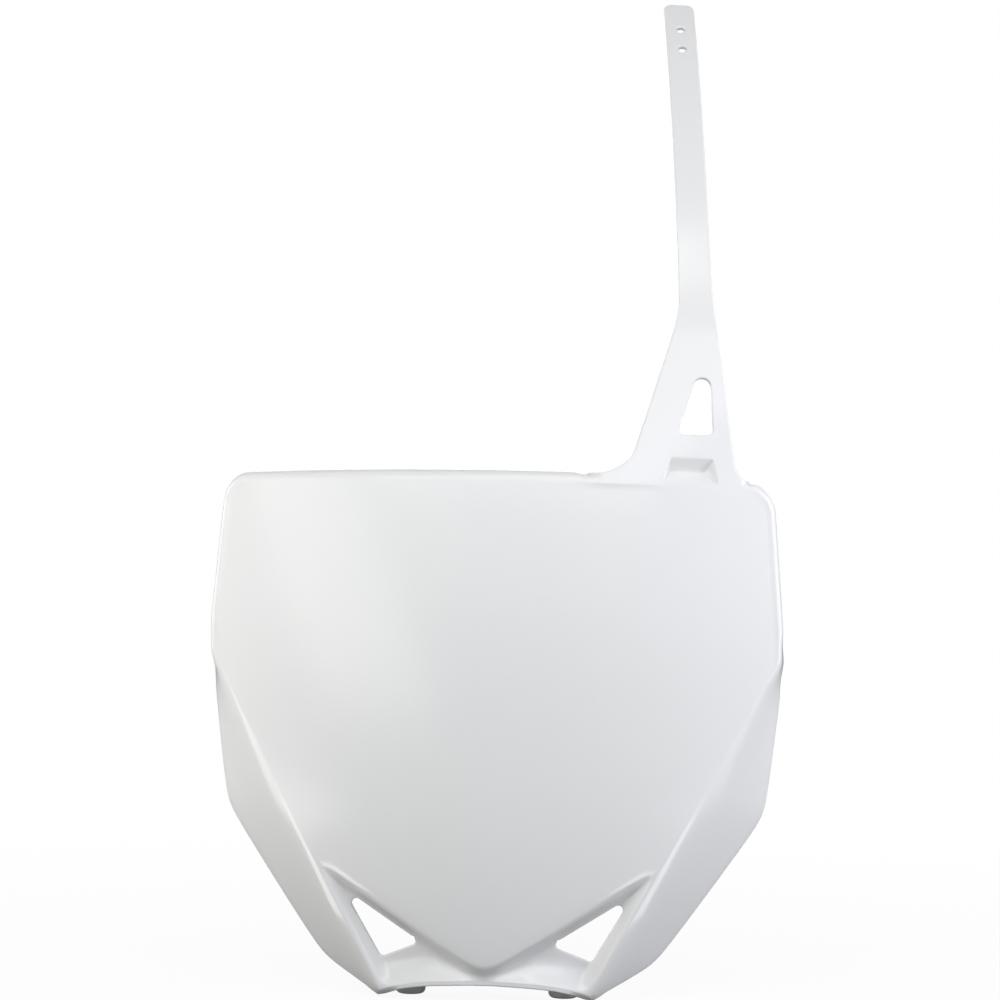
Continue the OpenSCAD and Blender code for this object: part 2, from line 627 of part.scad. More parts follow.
// Locating peg with a rounded end, pointing down from the shelf
module peg() {
    straight = peg_len - peg_round;
    translate([0, 0, -peg_len])
        rotate_extrude($fn = round_fn) {
            translate([0, peg_round])
                square([peg_r, straight + shelf_t / 2]);
            square([peg_r - peg_round, peg_len]);
            intersection() {
                translate([peg_r - peg_round, peg_round])
                    circle(r = peg_round, $fn = round_fn);
                square([peg_r, peg_len]);
            }
        }
}

// Mushroom button behind the face that the strap's holes hook on to
module button() {
    foot = wall / 2;
    translate([button_place.x, face_y(button_place.x, button_place.y) + foot, button_place.y])
        rotate([-90, 0, 0]) {
            cylinder(r = stem_r, h = foot + stem_len + head_t / 2, $fn = round_fn);
            translate([0, 0, foot + stem_len])
                cylinder(r = head_r, h = head_t, $fn = round_fn);
        }
}

module number_board() {
    color("#eceded")
    difference() {
        union() {
            plate_shell();
            strap_band();
            pocket_form(pocket_wall, strap_t / 2, pocket_root * strap_t);
            shelf();
            for (side = [-1, 1]) {
                translate([side * peg_gap / 2, 0, 0])
                    peg();
                rib(side * rib_x);
            }
            button();
        }
        windows();
        slot();
        strap_holes();
        pocket_form(0, -cut, pocket_lip);
    }
}

number_board();
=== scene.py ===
"""Front number board of a motocross bike: moulded skin, pegs, strap button, white plastic, light, camera."""

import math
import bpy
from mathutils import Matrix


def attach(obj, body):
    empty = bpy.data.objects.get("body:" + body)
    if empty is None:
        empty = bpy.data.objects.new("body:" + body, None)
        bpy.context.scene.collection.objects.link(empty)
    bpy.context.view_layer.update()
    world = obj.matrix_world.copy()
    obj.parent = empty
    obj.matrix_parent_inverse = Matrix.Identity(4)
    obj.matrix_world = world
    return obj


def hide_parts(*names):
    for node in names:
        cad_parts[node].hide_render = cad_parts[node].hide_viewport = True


bl_info = {
    "name": "Motocross Number Board",
    "version": (1, 0, 0),
    "blender": (4, 5, 0),
    "location": "View3D > Sidebar > Number Board",
    "description": "Builds a one-piece front number board on its packed CAD frame",
    "category": "Add Mesh",
}

from types import SimpleNamespace

import bpy
import numpy as np
from mathutils import Matrix, Vector

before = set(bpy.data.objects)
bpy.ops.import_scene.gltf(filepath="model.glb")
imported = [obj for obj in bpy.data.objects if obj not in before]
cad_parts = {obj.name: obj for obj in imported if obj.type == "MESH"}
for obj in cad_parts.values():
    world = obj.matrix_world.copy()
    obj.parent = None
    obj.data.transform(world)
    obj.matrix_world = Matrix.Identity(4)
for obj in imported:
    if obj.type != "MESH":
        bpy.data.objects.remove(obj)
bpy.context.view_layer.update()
NODE = "number_board"
BODY = "root"
MILLIMETRES = 1000.0

# Mesh of the face: columns across it, and rows in each stretch from the bottom edge to the top roll line
COLUMNS = 140
PANEL_ROWS = 24
STEP_FOOT_ROWS = 3
STEP_ROWS = 9
EDGE_ROWS = 5
WING_ROWS = 64
TOP_ROWS = 34
# Mesh of the fold-back, the neck, the strap, its tip and the rims
FOLD_RINGS = 16
NECK_ROWS = 44
STRAP_ROWS = 76
TIP_ROWS = 8
RIM_STEPS = 4
# Steps in which the path of the neck and the strap is added up
PATH_STEPS = 4000
# Trials that find where the shield's edge meets the ridge
TRIALS = 16
# Rings between the mesh and each opening, and how much closer together they are at the opening
SLOT_RINGS = (7, 1.5)
HOLE_RINGS = (4, 1.2)
WINDOW_RINGS = (6, 1.4)
# Points of each opening's outline, of its corners and of a strap hole
BELT_POINTS = 720
BELT_CORNER_POINTS = 40
HOLE_POINTS = 240
# How much closer together columns are at the sides, rings at the face and rows at the neck's root
COLUMN_CROWDING = 0.2
RING_CROWDING = 1.5
ROW_CROWDING = 1.25
# Cells that a window's block keeps to spare, and every how many points of its outline are looked up
SPARE_CELLS = 2
LOOK_UP_STEP = 20


def length(name, description, millimetres):
    """A size that the user can change, given in millimetres and kept in metres."""
    return bpy.props.FloatProperty(
        name=name, description=description, default=millimetres / MILLIMETRES, precision=5, unit="LENGTH"
    )


def angle(name, description, degrees):
    """An angle that the user can change, given in degrees and kept in radians."""
    return bpy.props.FloatProperty(
        name=name, description=description, default=math.radians(degrees), subtype="ANGLE"
    )


def share(name, description, value):
    """A plain number that the user can change."""
    return bpy.props.FloatProperty(name=name, description=description, default=value, precision=4)


class BoardFaceSizes(bpy.types.PropertyGroup):
    """Sizes of the face, its curves, its shield point and its lower panel."""

    shoulder_w: length("Shoulder width", "Width of the face at its shoulders, the widest place", 233.8)
    top_w: length("Top width", "Width of the face at its top corners", 222.0)
    foot_w: length("Foot width", "Width of the face at its foot", 86.0)
    top_z: length("Top height", "Height of the top roll line above the seat, at its ends", 200.6)
    crown: length("Crown", "Rise of the top edge's middle above its ends", 2.8)
    shoulder_z: length("Shoulder height", "Height of the shoulders above the seat", 131.0)
    foot_z: length("Foot height", "Height of the foot's corners above the seat", -6.2)
    arch: length("Arch", "Rise of the bottom edge's middle above its corners", 5.2)
    corner_left: length("Left corner radius", "Radius of the face's left top corner", 7.5)
    corner_right: length("Right corner radius", "Radius of the face's right top corner", 9.0)
    wall: length("Wall", "Thickness of the moulding", 2.2)
    belly_y: length("Belly place", "Place of the most forward line, front to rear", -26.0)
    belly_z: length("Belly height", "Height of the most forward line", 105.0)
    belly_r: length("Upright radius", "Radius of the face from top to bottom", 836.0)
    bow_r: length("Bow radius", "Radius of the face from side to side", 250.0)
    keel: share("Keel", "Slope that the keel adds to each side at the foot", 0.06)
    keel_soft: length("Keel rounding", "Half-width of the keel's rounding", 8.0)
    keel_top_z: length("Keel height", "Height at which the keel has run out", 150.0)
    tip_z: length("Point height", "Height of the shield's point above the seat", 4.8)
    vee_slope: share("Shield slope", "Slope of the shield's two lower edges", 0.652)
    vee_soft: length("Point rounding", "Rounding of the shield's point", 7.0)
    step_run: length("Step height", "Height of the step under the shield, seen from the front", 3.8)
    recess: length("Recess", "Depth of the lower panel below the face", 6.5)
    tip_share: share("Shallow share", "Share of the recess that is left out under the point", 0.55)
    tip_reach: length("Shallow reach", "Reach of the shallower part to each side", 14.0)
    plain_reach: length("Plain reach", "Reach to each side of the foot that isn't swept forward", 9.0)
    ridge_run: length("Ridge slope", "Width of the slope between the panel and each side ridge", 8.0)
    flare_h: length("Flare height", "Height over which the panel sweeps forward to the bottom lip", 11.0)


class BoardFoldSizes(bpy.types.PropertyGroup):
    """Sizes of the side wings, the top lip, the bottom lip and the two windows."""

    flange_out: length("Flange width", "Width of the fold-back beside the upper face", 3.2)
    flange_back: length("Flange depth", "Depth of the fold-back beside the upper face", 12.0)
    lip_out: length("Lip height", "Rise of the top lip above the roll line", 4.6)
    lip_back: length("Lip depth", "Depth of the top lip", 11.0)
    wing_high_z: length("Wing top height", "Height of each wing's upper corner", 79.0)
    wing_high_out: length("Wing top width", "Width of each wing at its upper corner", 27.2)
    wing_high_back: length("Wing top depth", "Depth of each wing at its upper corner", 27.0)
    wing_low_z: length("Wing low height", "Height of each wing's lower corner", 13.0)
    wing_low_out: length("Wing low width", "Width of each wing at its lower corner", 17.4)
    wing_low_back: length("Wing low depth", "Depth of each wing at its lower corner", 17.0)
    wing_foot_out: length("Wing foot width", "Width of each wing at the foot", 2.4)
    wing_foot_back: length("Wing foot depth", "Depth of each wing at the foot", 2.6)
    ridge_r: length("Ridge rounding", "Rounding of the ridges between face and wings", 4.0)
    bottom_land: length("Bottom land", "Height of the upright land along the bottom lip", 1.4)
    window_r: length("Window corner radius", "Radius of each window's corners", 1.8)


class BoardStrapSizes(bpy.types.PropertyGroup):
    """Sizes of the strap, its neck, its slot and its pocket."""

    strap_x: length("Strap place", "Middle of the strap where it leaves the face, across", 83.4)
    neck_left: length("Neck left", "Half-width of the neck's inner side at its root", 30.6)
    neck_right: length("Neck right", "Half-width of the neck's outer side at its root", 16.5)
    neck_left_h: length("Left taper", "Height of the neck's inner taper", 73.0)
    neck_right_h: length("Right taper", "Height of the neck's outer taper", 80.0)
    fillet_left: length("Left fillet", "Fillet between the neck's inner side and the lip", 12.0)
    fillet_right: length("Right fillet", "Fillet between the neck's outer side and the right corner", 10.0)
    neck_len: length("Neck length", "Length of the neck up to its bend", 65.0)
    neck_lean: angle("Neck lean", "Lean of the neck to the rear", 14.0)
    strap_len: length("Strap length", "Length of the strap above the bend", 174.5)
    strap_w: length("Strap width", "Width of the strap", 13.2)
    strap_lean: angle("Strap lean", "Lean of the strap just above the bend", 20.0)
    tip_lean: angle("Tip lean", "Lean of the strap at its tip", 40.0)
    strap_turn: angle("Strap turn", "Turn of the strap about the upright axis", 8.5)
    tip_r: length("Tip radius", "Radius of the strap's tip corners", 3.6)
    hole_r: length("Hole radius", "Radius of the two strap holes", 1.75)
    hole_end: length("Hole place", "Distance of the first hole from the tip", 16.0)
    hole_pitch: length("Hole distance", "Distance between the two holes", 11.8)
    pocket_x: length("Pocket place", "Middle of the pocket, across", 80.5)
    pocket_w: length("Pocket width", "Width of the pocket at its lower edge", 23.4)
    pocket_taper: length("Pocket taper", "Taper of each of the pocket's sides over its height", 3.0)
    pocket_h: length("Pocket height", "Height of the pocket", 11.0)
    pocket_up: length("Pocket rise", "Distance of the pocket's lower edge above the roll line", 1.6)
    pocket_deep: length("Pocket depth", "Depth of the pocket at its top", 6.0)
    pocket_draft: length("Pocket draft", "Draft of the pocket's top wall and outer wall", 4.0)


class BoardMountSizes(bpy.types.PropertyGroup):
    """Sizes of the pegs, their shelf and ribs, and the strap button."""

    peg_r: length("Peg radius", "Radius of the two locating pegs", 6.2)
    peg_gap: length("Peg distance", "Distance between the pegs", 63.4)
    peg_len: length("Peg length", "Length of the pegs below the shelf", 9.0)
    peg_round: length("Peg rounding", "Rounding of the pegs' lower ends", 2.0)
    shelf_margin: length("Shelf margin", "Width of the shelf round each peg", 2.2)
    shelf_t: length("Shelf thickness", "Thickness of the shelf", 2.4)
    rib_x: length("Rib place", "Distance of the shelf's ribs from the middle", 13.0)
    rib_t: length("Rib thickness", "Thickness of the ribs", 1.8)
    rib_h: length("Rib height", "Height of the ribs above the shelf", 20.0)
    button_x: length("Button place", "Place of the strap button, across", 82.0)
    button_z: length("Button height", "Height of the strap button", 186.0)
    stem_r: length("Stem radius", "Radius of the button's stem", 1.8)
    stem_len: length("Stem length", "Length of the button's stem", 4.6)
    head_r: length("Head radius", "Radius of the button's head", 3.1)
    head_t: length("Head thickness", "Thickness of the button's head", 1.6)


# The sRGB display curve: slope and end of its straight part, offset and power of the rest
CURVE_SLOPE = 12.92
CURVE_END = 0.04045
CURVE_OFFSET = 0.055
CURVE_POWER = 2.4


def colour(name, description, code):
    """A colour that the user can change, given as an sRGB hex code."""
    return bpy.props.FloatVectorProperty(
        name=name, description=description, default=linear(code), size=4, min=0.0, max=1.0, subtype="COLOR"
    )


def linear(code):
    """Linear RGBA of an sRGB hex code: each channel is undone from the display curve."""
    shown = np.array([int(code[start : start + 2], 16) / 255 for start in (1, 3, 5)])
    bent = ((shown + CURVE_OFFSET) / (1 + CURVE_OFFSET)) ** CURVE_POWER
    return np.where(shown <= CURVE_END, shown / CURVE_SLOPE, bent).tolist() + [1.0]


class BoardColours(bpy.types.PropertyGroup):
    """Colours of the plastic and the floor."""

    plastic: colour("Plastic", "White of the moulded plastic", "#EFEFEC")
    plastic_shade: colour("Plastic shade", "Slightly greyer white where the melt flowed thinner", "#EBECEA")
    floor: colour("Floor", "Pale floor", "#F4F4F4")
    floor_bounce: colour("Floor bounce", "Grey that the floor throws back on to the part", "#8A8A8A")


# Windows in the lower panel, across and up, in anticlockwise order
WINDOW_CORNERS = ((42.7, 7.2), (55.4, 29.9), (29.0, 13.5))
# Slot in the neck: place across, height above the root and radius of each rounding
SLOT_CIRCLES = ((77.6, 24.7, 2.5), (86.6, 24.7, 2.5), (83.9, 42.1, 3.7))
# Rounding of every cut edge of the moulding
RIM_R = 0.6
# Soft joins between the straight lines of the outline, the wings and the neck
SHOULDER_SOFT = 1.2
WING_SOFT = 3.0
NECK_SOFT = 1.5
# Growth of the keel towards the foot, and of the bottom edge's fall towards its corners
KEEL_POWER = 1.5
ARCH_POWER = 3
# Rounding of the step as a share of its height, and the part of the panel that the sweep may fill
STEP_SOFT = 0.3
SWEEP_LIMIT = 0.9
# Finer rows above and below the step, and the part of the panel that they may fill
EDGE_LAND = 1.4
EDGE_LAND_LIMIT = 0.3
# Stretches over which the fold-back changes: at the shoulders, the foot and each side of the neck
SHOULDER_BLEND = 14.0
FOOT_BLEND = 9.0
LIP_BLEND = 13.0
LIP_END_BLEND = 4.5
# Reach for the edge's direction, and the ridge's rounding at most as a share of the fold-back
EDGE_REACH = 4.0
RIDGE_LIMIT = 1 / 3
# Start of the left fillet below the lip's top, and where the neck's mesh has settled on the fillet
FILLET_EARLY = 0.4
SETTLE_EARLY = 2.0
# Stretches over which the neck turns from the face, loses its bow and its arch, and bends into the strap
NECK_RIDGE = 2.5
NECK_UNBOW = 60.0
NECK_ARCH_RUN = 20.0
BEND_RUN = 8.0
# Inner wall: its growth at a slant at most, the least facing that counts, and its free run from the edges
SLANT_LIMIT = 1.7
LEAST_FACING = 0.1
EDGE_RUN = 8.0
# Pocket: run of its left wall, rounding of its edges and of its corners
POCKET_SIDE = 0.6
POCKET_SOFT = 0.9
POCKET_CORNER = 1.4
# Pocket's rings: shares on the way to its edge, growth of its outline, and shares on the way to its middle
POCKET_EDGE_GROW = 0.8
POCKET_EDGE_SHARES = (0.35, 0.7, 1.0)
POCKET_WALL_GROWS = (0.4, 0.1, -0.15, -0.35, -0.6, -0.9, -1.25)
POCKET_FLOOR_SHARES = (0.12, 0.25, 0.4, 0.55, 0.7, 0.85, 0.95)
# Block of the neck's mesh that the slot replaces: from and to along the path, from and to across
SLOT_BLOCK = ((19.5, 51.5), (73.0, 91.0))
# Block of the pocket: its start along the path, and its spare length above and to each side of the pocket
POCKET_BLOCK = (0.5, 3.0, 2.5)
# Block of a strap hole: its reach along the path and across from the hole's middle
HOLE_BLOCK = (4.6, 4.4)
# Rounding of the edges of the shelf, the ribs and the button
SHELF_ROUND = 0.5
RIB_ROUND = 0.4
BUTTON_ROUND = 0.5
# Reach for the outline's direction there, and the steps of a rounded edge and of a rounded corner
ROUND_REACH = 0.4
ROUND_STEPS = 5
QUARTER_STEPS = 6
# Points round the pegs, the button, the shelf and the ribs, and in the stretches of their outlines
PEG_STEPS = 64
BUTTON_STEPS = 48
SHELF_POINTS = 400
SHELF_FRONT_POINTS = 60
SHELF_END_POINTS = 20
RIB_POINTS = 200
RIB_FRONT_POINTS = 30
# Place of the shelf's and ribs' front in the wall's thickness, from the skin
WALL_SHARE = 0.75
# Distances too small to count, which keep divisions safe
TINY = 1e-6
LEAST_LENGTH = 1e-12
# Properties that every group of sizes has besides its own
BUILT_IN = ("rna_type", "name")


def in_millimetres(*groups):
    """All sizes of the groups by name: lengths in millimetres, angles in radians, shares as they are.
    The shape functions take them as b. There x runs across, y to the rear and z up, u is a share of the
    half-width, s a length along the strap's path, and q a share of the way along the fold-back."""
    sizes = SimpleNamespace()
    for group in groups:
        for name, prop in group.bl_rna.properties.items():
            if name in BUILT_IN:
                continue
            scale = MILLIMETRES if prop.unit == "LENGTH" else 1.0
            setattr(sizes, name, getattr(group, name) * scale)
    return sizes


def mix(a, b, t):
    """Straight mixture of a and b, all a at t = 0 and all b at t = 1."""
    return a + (b - a) * t


def smooth(t):
    """Soft step from 0 to 1: 3 t squared less 2 t cubed."""
    t = np.clip(t, 0.0, 1.0)
    return t * t * (3 - 2 * t)


def soft_min(a, b, k):
    """The smaller of a and b, with the corner between them rounded over about k."""
    return (a + b - np.sqrt((a - b) ** 2 + k * k)) / 2


def soft_max(a, b, k):
    """The larger of a and b, with the corner between them rounded over about k."""
    return (a + b + np.sqrt((a - b) ** 2 + k * k)) / 2


def unit(v):
    """Vectors scaled to length one, along the last axis."""
    return v / np.maximum(np.linalg.norm(v, axis=-1, keepdims=True), LEAST_LENGTH)


def line_at(z, z0, v0, z1, v1):
    """The line through (z0, v0) and (z1, v1), at z."""
    return v0 + (v1 - v0) * (z - z0) / (z1 - z0)


def side_x(b, z):
    """Half-width of the face: one straight line below the shoulder, one above, softly joined."""
    low = line_at(z, b.foot_z, b.foot_w / 2, b.shoulder_z, b.shoulder_w / 2)
    high = line_at(z, b.shoulder_z, b.shoulder_w / 2, b.top_z, b.top_w / 2)
    return soft_min(low, high, SHOULDER_SOFT) + SHOULDER_SOFT / 4


def top_line(b, u):
    """Top roll line: a flat parabola over the share u of the half-width."""
    return b.top_z + b.crown * (1 - u * u)


def vee_line(b, x):
    """Lower edge of the shield: a V whose point is rounded as a hyperbola."""
    return b.tip_z + b.vee_slope * (np.sqrt(x * x + b.vee_soft**2) - b.vee_soft)


def step_line(b, x):
    """Foot of the step under the shield."""
    return vee_line(b, x) - b.step_run


def bottom_line(b, x):
    """Bottom edge: an arch that falls with the cube of the place across."""
    share_out = np.clip(np.abs(x) / (b.foot_w / 2), 0, 1)
    return b.foot_z + b.arch * (1 - share_out**ARCH_POWER)


def vee_end(b, drop):
    """Half-width at which the shield edge, lowered by drop, meets the side ridge, by repeated trial."""
    x = b.foot_w / 2
    for _ in range(TRIALS):
        x = side_x(b, vee_line(b, x) - drop)
    return x


def skin_y(b, x, z):
    """Depth of the face without its recess: an upright arc, a sideways arc and a keel growing downwards."""
    keel = b.keel * np.clip((b.keel_top_z - z) / (b.keel_top_z - b.tip_z), 0, 1) ** KEEL_POWER
    upright = b.belly_r - np.sqrt(b.belly_r**2 - (z - b.belly_z) ** 2)
    bow = b.bow_r - np.sqrt(b.bow_r**2 - x * x)
    return b.belly_y + upright + bow + keel * (np.sqrt(x * x + b.keel_soft**2) - b.keel_soft)


def recess_y(b, x, z):
    """Depth of the lower panel: a rounded step, a slope at each ridge and a sine sweep to the bottom lip.
    Towards the middle the recess gets shallower and the sweep is left out, both as bell curves."""
    deep = b.recess * (1 - b.tip_share * np.exp(-((x / b.tip_reach) ** 2)))
    drop = (vee_line(b, x) - z) / b.step_run
    step = np.clip(soft_max(soft_min(drop, 1.0, STEP_SOFT), 0.0, STEP_SOFT), 0, 1)
    run = np.minimum(b.flare_h, SWEEP_LIMIT * (step_line(b, x) - bottom_line(b, x)))
    flare = np.sin(math.pi / 2 * np.clip((z - bottom_line(b, x)) / run, 0, 1))
    flare += (1 - flare) * np.exp(-((x / b.plain_reach) ** 2))
    edge = smooth((side_x(b, z) - np.abs(x)) / b.ridge_run)
    return deep * step * flare * edge


def face_at(b, x, z):
    """Points of the face at places x across and z up."""
    return np.stack([x, skin_y(b, x, z) + recess_y(b, x, z), z], axis=-1)


def face_rows(b):
    """Places of the rows: each level is a line across the face, and rows are spread evenly between levels.
    A column stands at the same share u of the half-width in every row."""
    u = np.linspace(-1, 1, COLUMNS + 1)
    u = u * (1 + COLUMN_CROWDING - COLUMN_CROWDING * u * u)
    vee_x = vee_end(b, 0)
    step_x = vee_end(b, b.step_run)
    knee = (b.shoulder_z - vee_line(b, vee_x)) / (b.top_z - vee_line(b, vee_x))

    def levels(s):
        """Heights of the levels at a share s of the half-width."""
        bottom = bottom_line(b, s * b.foot_w / 2)
        step = step_line(b, s * step_x)
        vee = vee_line(b, s * vee_x)
        top = top_line(b, s)
        land = np.minimum(EDGE_LAND, EDGE_LAND_LIMIT * (step - bottom))
        return [bottom, step - land, step, vee, vee + EDGE_LAND, mix(vee, top, knee), top]

    counts = [PANEL_ROWS, STEP_FOOT_ROWS, STEP_ROWS, EDGE_ROWS, WING_ROWS, TOP_ROWS]
    inner = levels(u)
    ends = levels(np.array(1.0))
    rows = []
    row_ends = []
    for low, high, low_end, high_end, count in zip(inner, inner[1:], ends, ends[1:], counts):
        for t in np.arange(count) / count:
            rows.append(mix(low, high, t))
            row_ends.append(mix(low_end, high_end, t))
    rows.append(inner[-1])
    row_ends.append(ends[-1])
    z = np.array(rows)
    x = u[None, :] * side_x(b, np.array(row_ends))[:, None]
    return x, z, u


def corner_radius(b, x):
    """Radius of the top corner on the side of a place across."""
    return np.where(x < 0, b.corner_left, b.corner_right)


def round_corners(b, x, z, u):
    """Draws the square top corners in to round ones: squares about a corner's centre become circles."""
    drop = b.crown * (1 - u * u)[None, :]
    radius = corner_radius(b, x)
    centre_x = side_x(b, b.top_z) - radius
    centre_z = b.top_z - radius
    across = np.abs(x) - centre_x
    above = z - drop - centre_z
    shrink = np.maximum(across, above) / np.maximum(np.hypot(across, above), TINY)
    inside = (across > 0) & (above > 0)
    new_x = np.where(inside, np.sign(x) * (centre_x + across * shrink), x)
    new_z = np.where(inside, centre_z + above * shrink + drop, z)
    return new_x, new_z


def measured(points):
    """A closed line with its first point again at its end, and the length along it at each point."""
    closed = np.vstack([points, points[:1]])
    return closed, np.concatenate([[0], np.cumsum(np.linalg.norm(np.diff(closed, axis=0), axis=1))])


def along_loop(points, reach):
    """Direction of a closed line at each of its points, taken between points a reach ahead and behind."""
    closed, s = measured(points)
    ahead = (s[:-1] + reach) % s[-1]
    behind = (s[:-1] - reach) % s[-1]
    return unit(
        np.stack([np.interp(ahead, s, line) - np.interp(behind, s, line) for line in closed.T], axis=-1)
    )


def wing_size(b, z, high, low, foot, top):
    """Size of a wing at a height: the smallest of three straight lines, softly joined."""
    upper = line_at(z, b.shoulder_z, top, b.wing_high_z, high)
    middle = line_at(z, b.wing_low_z, low, b.wing_high_z, high)
    lower = line_at(z, b.foot_z, foot, b.wing_low_z, low)
    return soft_min(upper, soft_min(middle, lower, WING_SOFT), WING_SOFT)


def side_size(b, z):
    """Width and depth of the fold-back beside the face, wings below the shoulder and a flange above."""
    t = smooth((z - b.shoulder_z + SHOULDER_BLEND) / (2 * SHOULDER_BLEND))
    out = wing_size(b, z, b.wing_high_out, b.wing_low_out, b.wing_foot_out, b.flange_out)
    back = wing_size(b, z, b.wing_high_back, b.wing_low_back, b.wing_foot_back, b.flange_back)
    return np.stack([mix(out, b.flange_out, t), mix(back, b.flange_back, t)], axis=-1)


def strap_path(b):
    """Path of the strap from the roll line up: its lean, added up step by step to rear and height."""
    s = np.linspace(0, b.neck_len + b.strap_len, PATH_STEPS)
    face_lean = math.atan((b.top_z - b.belly_z) / b.belly_r)
    root = mix(face_lean, b.neck_lean, 1 - np.exp(-s / NECK_RIDGE))
    bend = (b.strap_lean - b.neck_lean) * smooth((s - b.neck_len + BEND_RUN / 2) / BEND_RUN)
    arc = (b.tip_lean - b.strap_lean) * np.clip((s - b.neck_len) / b.strap_len, 0, 1)
    lean = root + bend + arc
    step = s[1] - s[0]
    middle = (lean[1:] + lean[:-1]) / 2
    rear = np.concatenate([[0], np.cumsum(np.sin(middle) * step)])
    up = np.concatenate([[0], np.cumsum(np.cos(middle) * step)])
    return SimpleNamespace(s=s, lean=lean, rear=rear, up=up, length=b.neck_len + b.strap_len)


def neck_at(b, path, x, s, depth=0.0):
    """Points of the neck and strap: a place x across, a length s along the path, and a depth below the skin.
    Near the root the skin keeps the face's bow, and above it the strap is flat and turned."""
    rear = np.interp(s, path.s, path.rear)
    up = np.interp(s, path.s, path.up)
    lean = np.interp(s, path.s, path.lean)
    root_z = top_line(b, b.strap_x / side_x(b, b.top_z))
    middle = b.strap_x - rear * math.tan(b.strap_turn)
    flat = (x - middle) * math.tan(b.strap_turn)
    bowed = skin_y(b, x, root_z) - skin_y(b, b.strap_x, root_z)
    arch = (top_line(b, x / side_x(b, b.top_z)) - root_z) * (1 - smooth(s / NECK_ARCH_RUN))
    unbowed = smooth(up / NECK_UNBOW)
    y = skin_y(b, b.strap_x, root_z) + rear + mix(bowed, flat, unbowed)
    turn = b.strap_turn * unbowed
    back = np.stack([-np.sin(turn) * np.cos(lean), np.cos(turn) * np.cos(lean), -np.sin(lean)], axis=-1)
    skin = np.stack([np.broadcast_to(x, y.shape), y, root_z + up + arch], axis=-1)
    return skin + np.asarray(depth)[..., None] * back


def outer_fillet(b):
    """Middle of the right fillet's circle, across and up from the root, and the share of its radius at which
    it ends: there it touches the circle that the lip runs round the right corner."""
    middle_x = b.strap_x + b.neck_right + b.fillet_right
    reach = b.corner_right + b.lip_out + b.fillet_right
    aside = middle_x - side_x(b, b.top_z) + b.corner_right
    stop = math.sqrt(max(0.0, 1 - (aside / reach) ** 2))
    root_z = top_line(b, b.strap_x / side_x(b, b.top_z))
    return middle_x, reach * stop - b.corner_right + b.top_z - root_z, stop


def strap_sides(b, path, s):
    """Left and right edge of the neck and strap: straight tapers, a round fillet at each root and round
    tip corners."""
    up = np.interp(s, path.s, path.up)
    rear = np.interp(s, path.s, path.rear)
    middle = b.strap_x - rear * math.tan(b.strap_turn)
    tip_r = b.tip_r - RIM_R
    past = np.clip(s - path.length + b.tip_r, 0, tip_r)
    tip = tip_r - np.sqrt(tip_r**2 - past**2)

    def half(root, tall, radius, centre, stop):
        """Half-width of one side, from the size of its root, its taper's height and its fillet's circle."""
        taper = soft_max(b.strap_w / 2, mix(root, b.strap_w / 2, up / tall), NECK_SOFT)
        h = np.clip(centre - up, 0, stop * radius)
        return taper + radius - np.sqrt(radius**2 - h * h) - tip - RIM_R

    left_centre = b.lip_out - FILLET_EARLY + b.fillet_left
    _, right_centre, stop = outer_fillet(b)
    left = middle - half(b.neck_left, b.neck_left_h, b.fillet_left, left_centre, 1.0)
    right = middle + half(b.neck_right, b.neck_right_h, b.fillet_right, right_centre, stop)
    return left, right


def quads(index):
    """Quads of a grid of vertex numbers, facing forwards where columns run to the right and rows upwards."""
    return np.stack([index[:-1, :-1], index[:-1, 1:], index[1:, 1:], index[1:, :-1]], axis=-1)


def ring_walls(rings):
    """Quads between closed rings of vertex numbers, each ring a row."""
    near = rings[:-1]
    far = rings[1:]
    return np.stack([near, np.roll(near, -1, axis=1), np.roll(far, -1, axis=1), far], axis=-1).reshape(-1, 4)


def block_loop(index, r0, r1, c0, c1):
    """Entries of a grid round a block of it, anticlockwise from its lower left corner."""
    return np.concatenate(
        [index[r0, c0:c1], index[r0:r1, c1], index[r1, c1:c0:-1], index[r1:r0:-1, c0]]
    )


def belt(circles, grow):
    """Closed outline of a belt drawn tight round circles, grown outwards, as evenly spaced points."""
    points = []
    for k, (x, z, r) in enumerate(circles):
        starts = tangent_angle(circles[k - 1], (x, z, r))
        ends = tangent_angle((x, z, r), circles[(k + 1) % len(circles)])
        ends += 2 * math.pi * math.ceil((starts - ends) / (2 * math.pi))
        turn = np.linspace(starts, ends, BELT_CORNER_POINTS)
        points.append(np.stack([x + (r + grow) * np.cos(turn), z + (r + grow) * np.sin(turn)], axis=-1))
    return evenly(np.vstack(points), BELT_POINTS)


def tangent_angle(a, c):
    """Direction from a circle's centre to where the belt leaves it for the next circle."""
    across = c[0] - a[0]
    up = c[1] - a[1]
    return math.atan2(up, across) - math.acos((a[2] - c[2]) / math.hypot(across, up))


def evenly(points, count):
    """The same closed line with a count of evenly spaced points."""
    closed, s = measured(points)
    at = np.linspace(0, s[-1], count, endpoint=False)
    return np.stack([np.interp(at, s, line) for line in closed.T], axis=-1)


def angles_about(points, centre):
    """Directions from a centre to points in turn, in radians that keep growing past a full turn."""
    return np.unwrap(np.arctan2(points[:, 1] - centre[1], points[:, 0] - centre[0]))


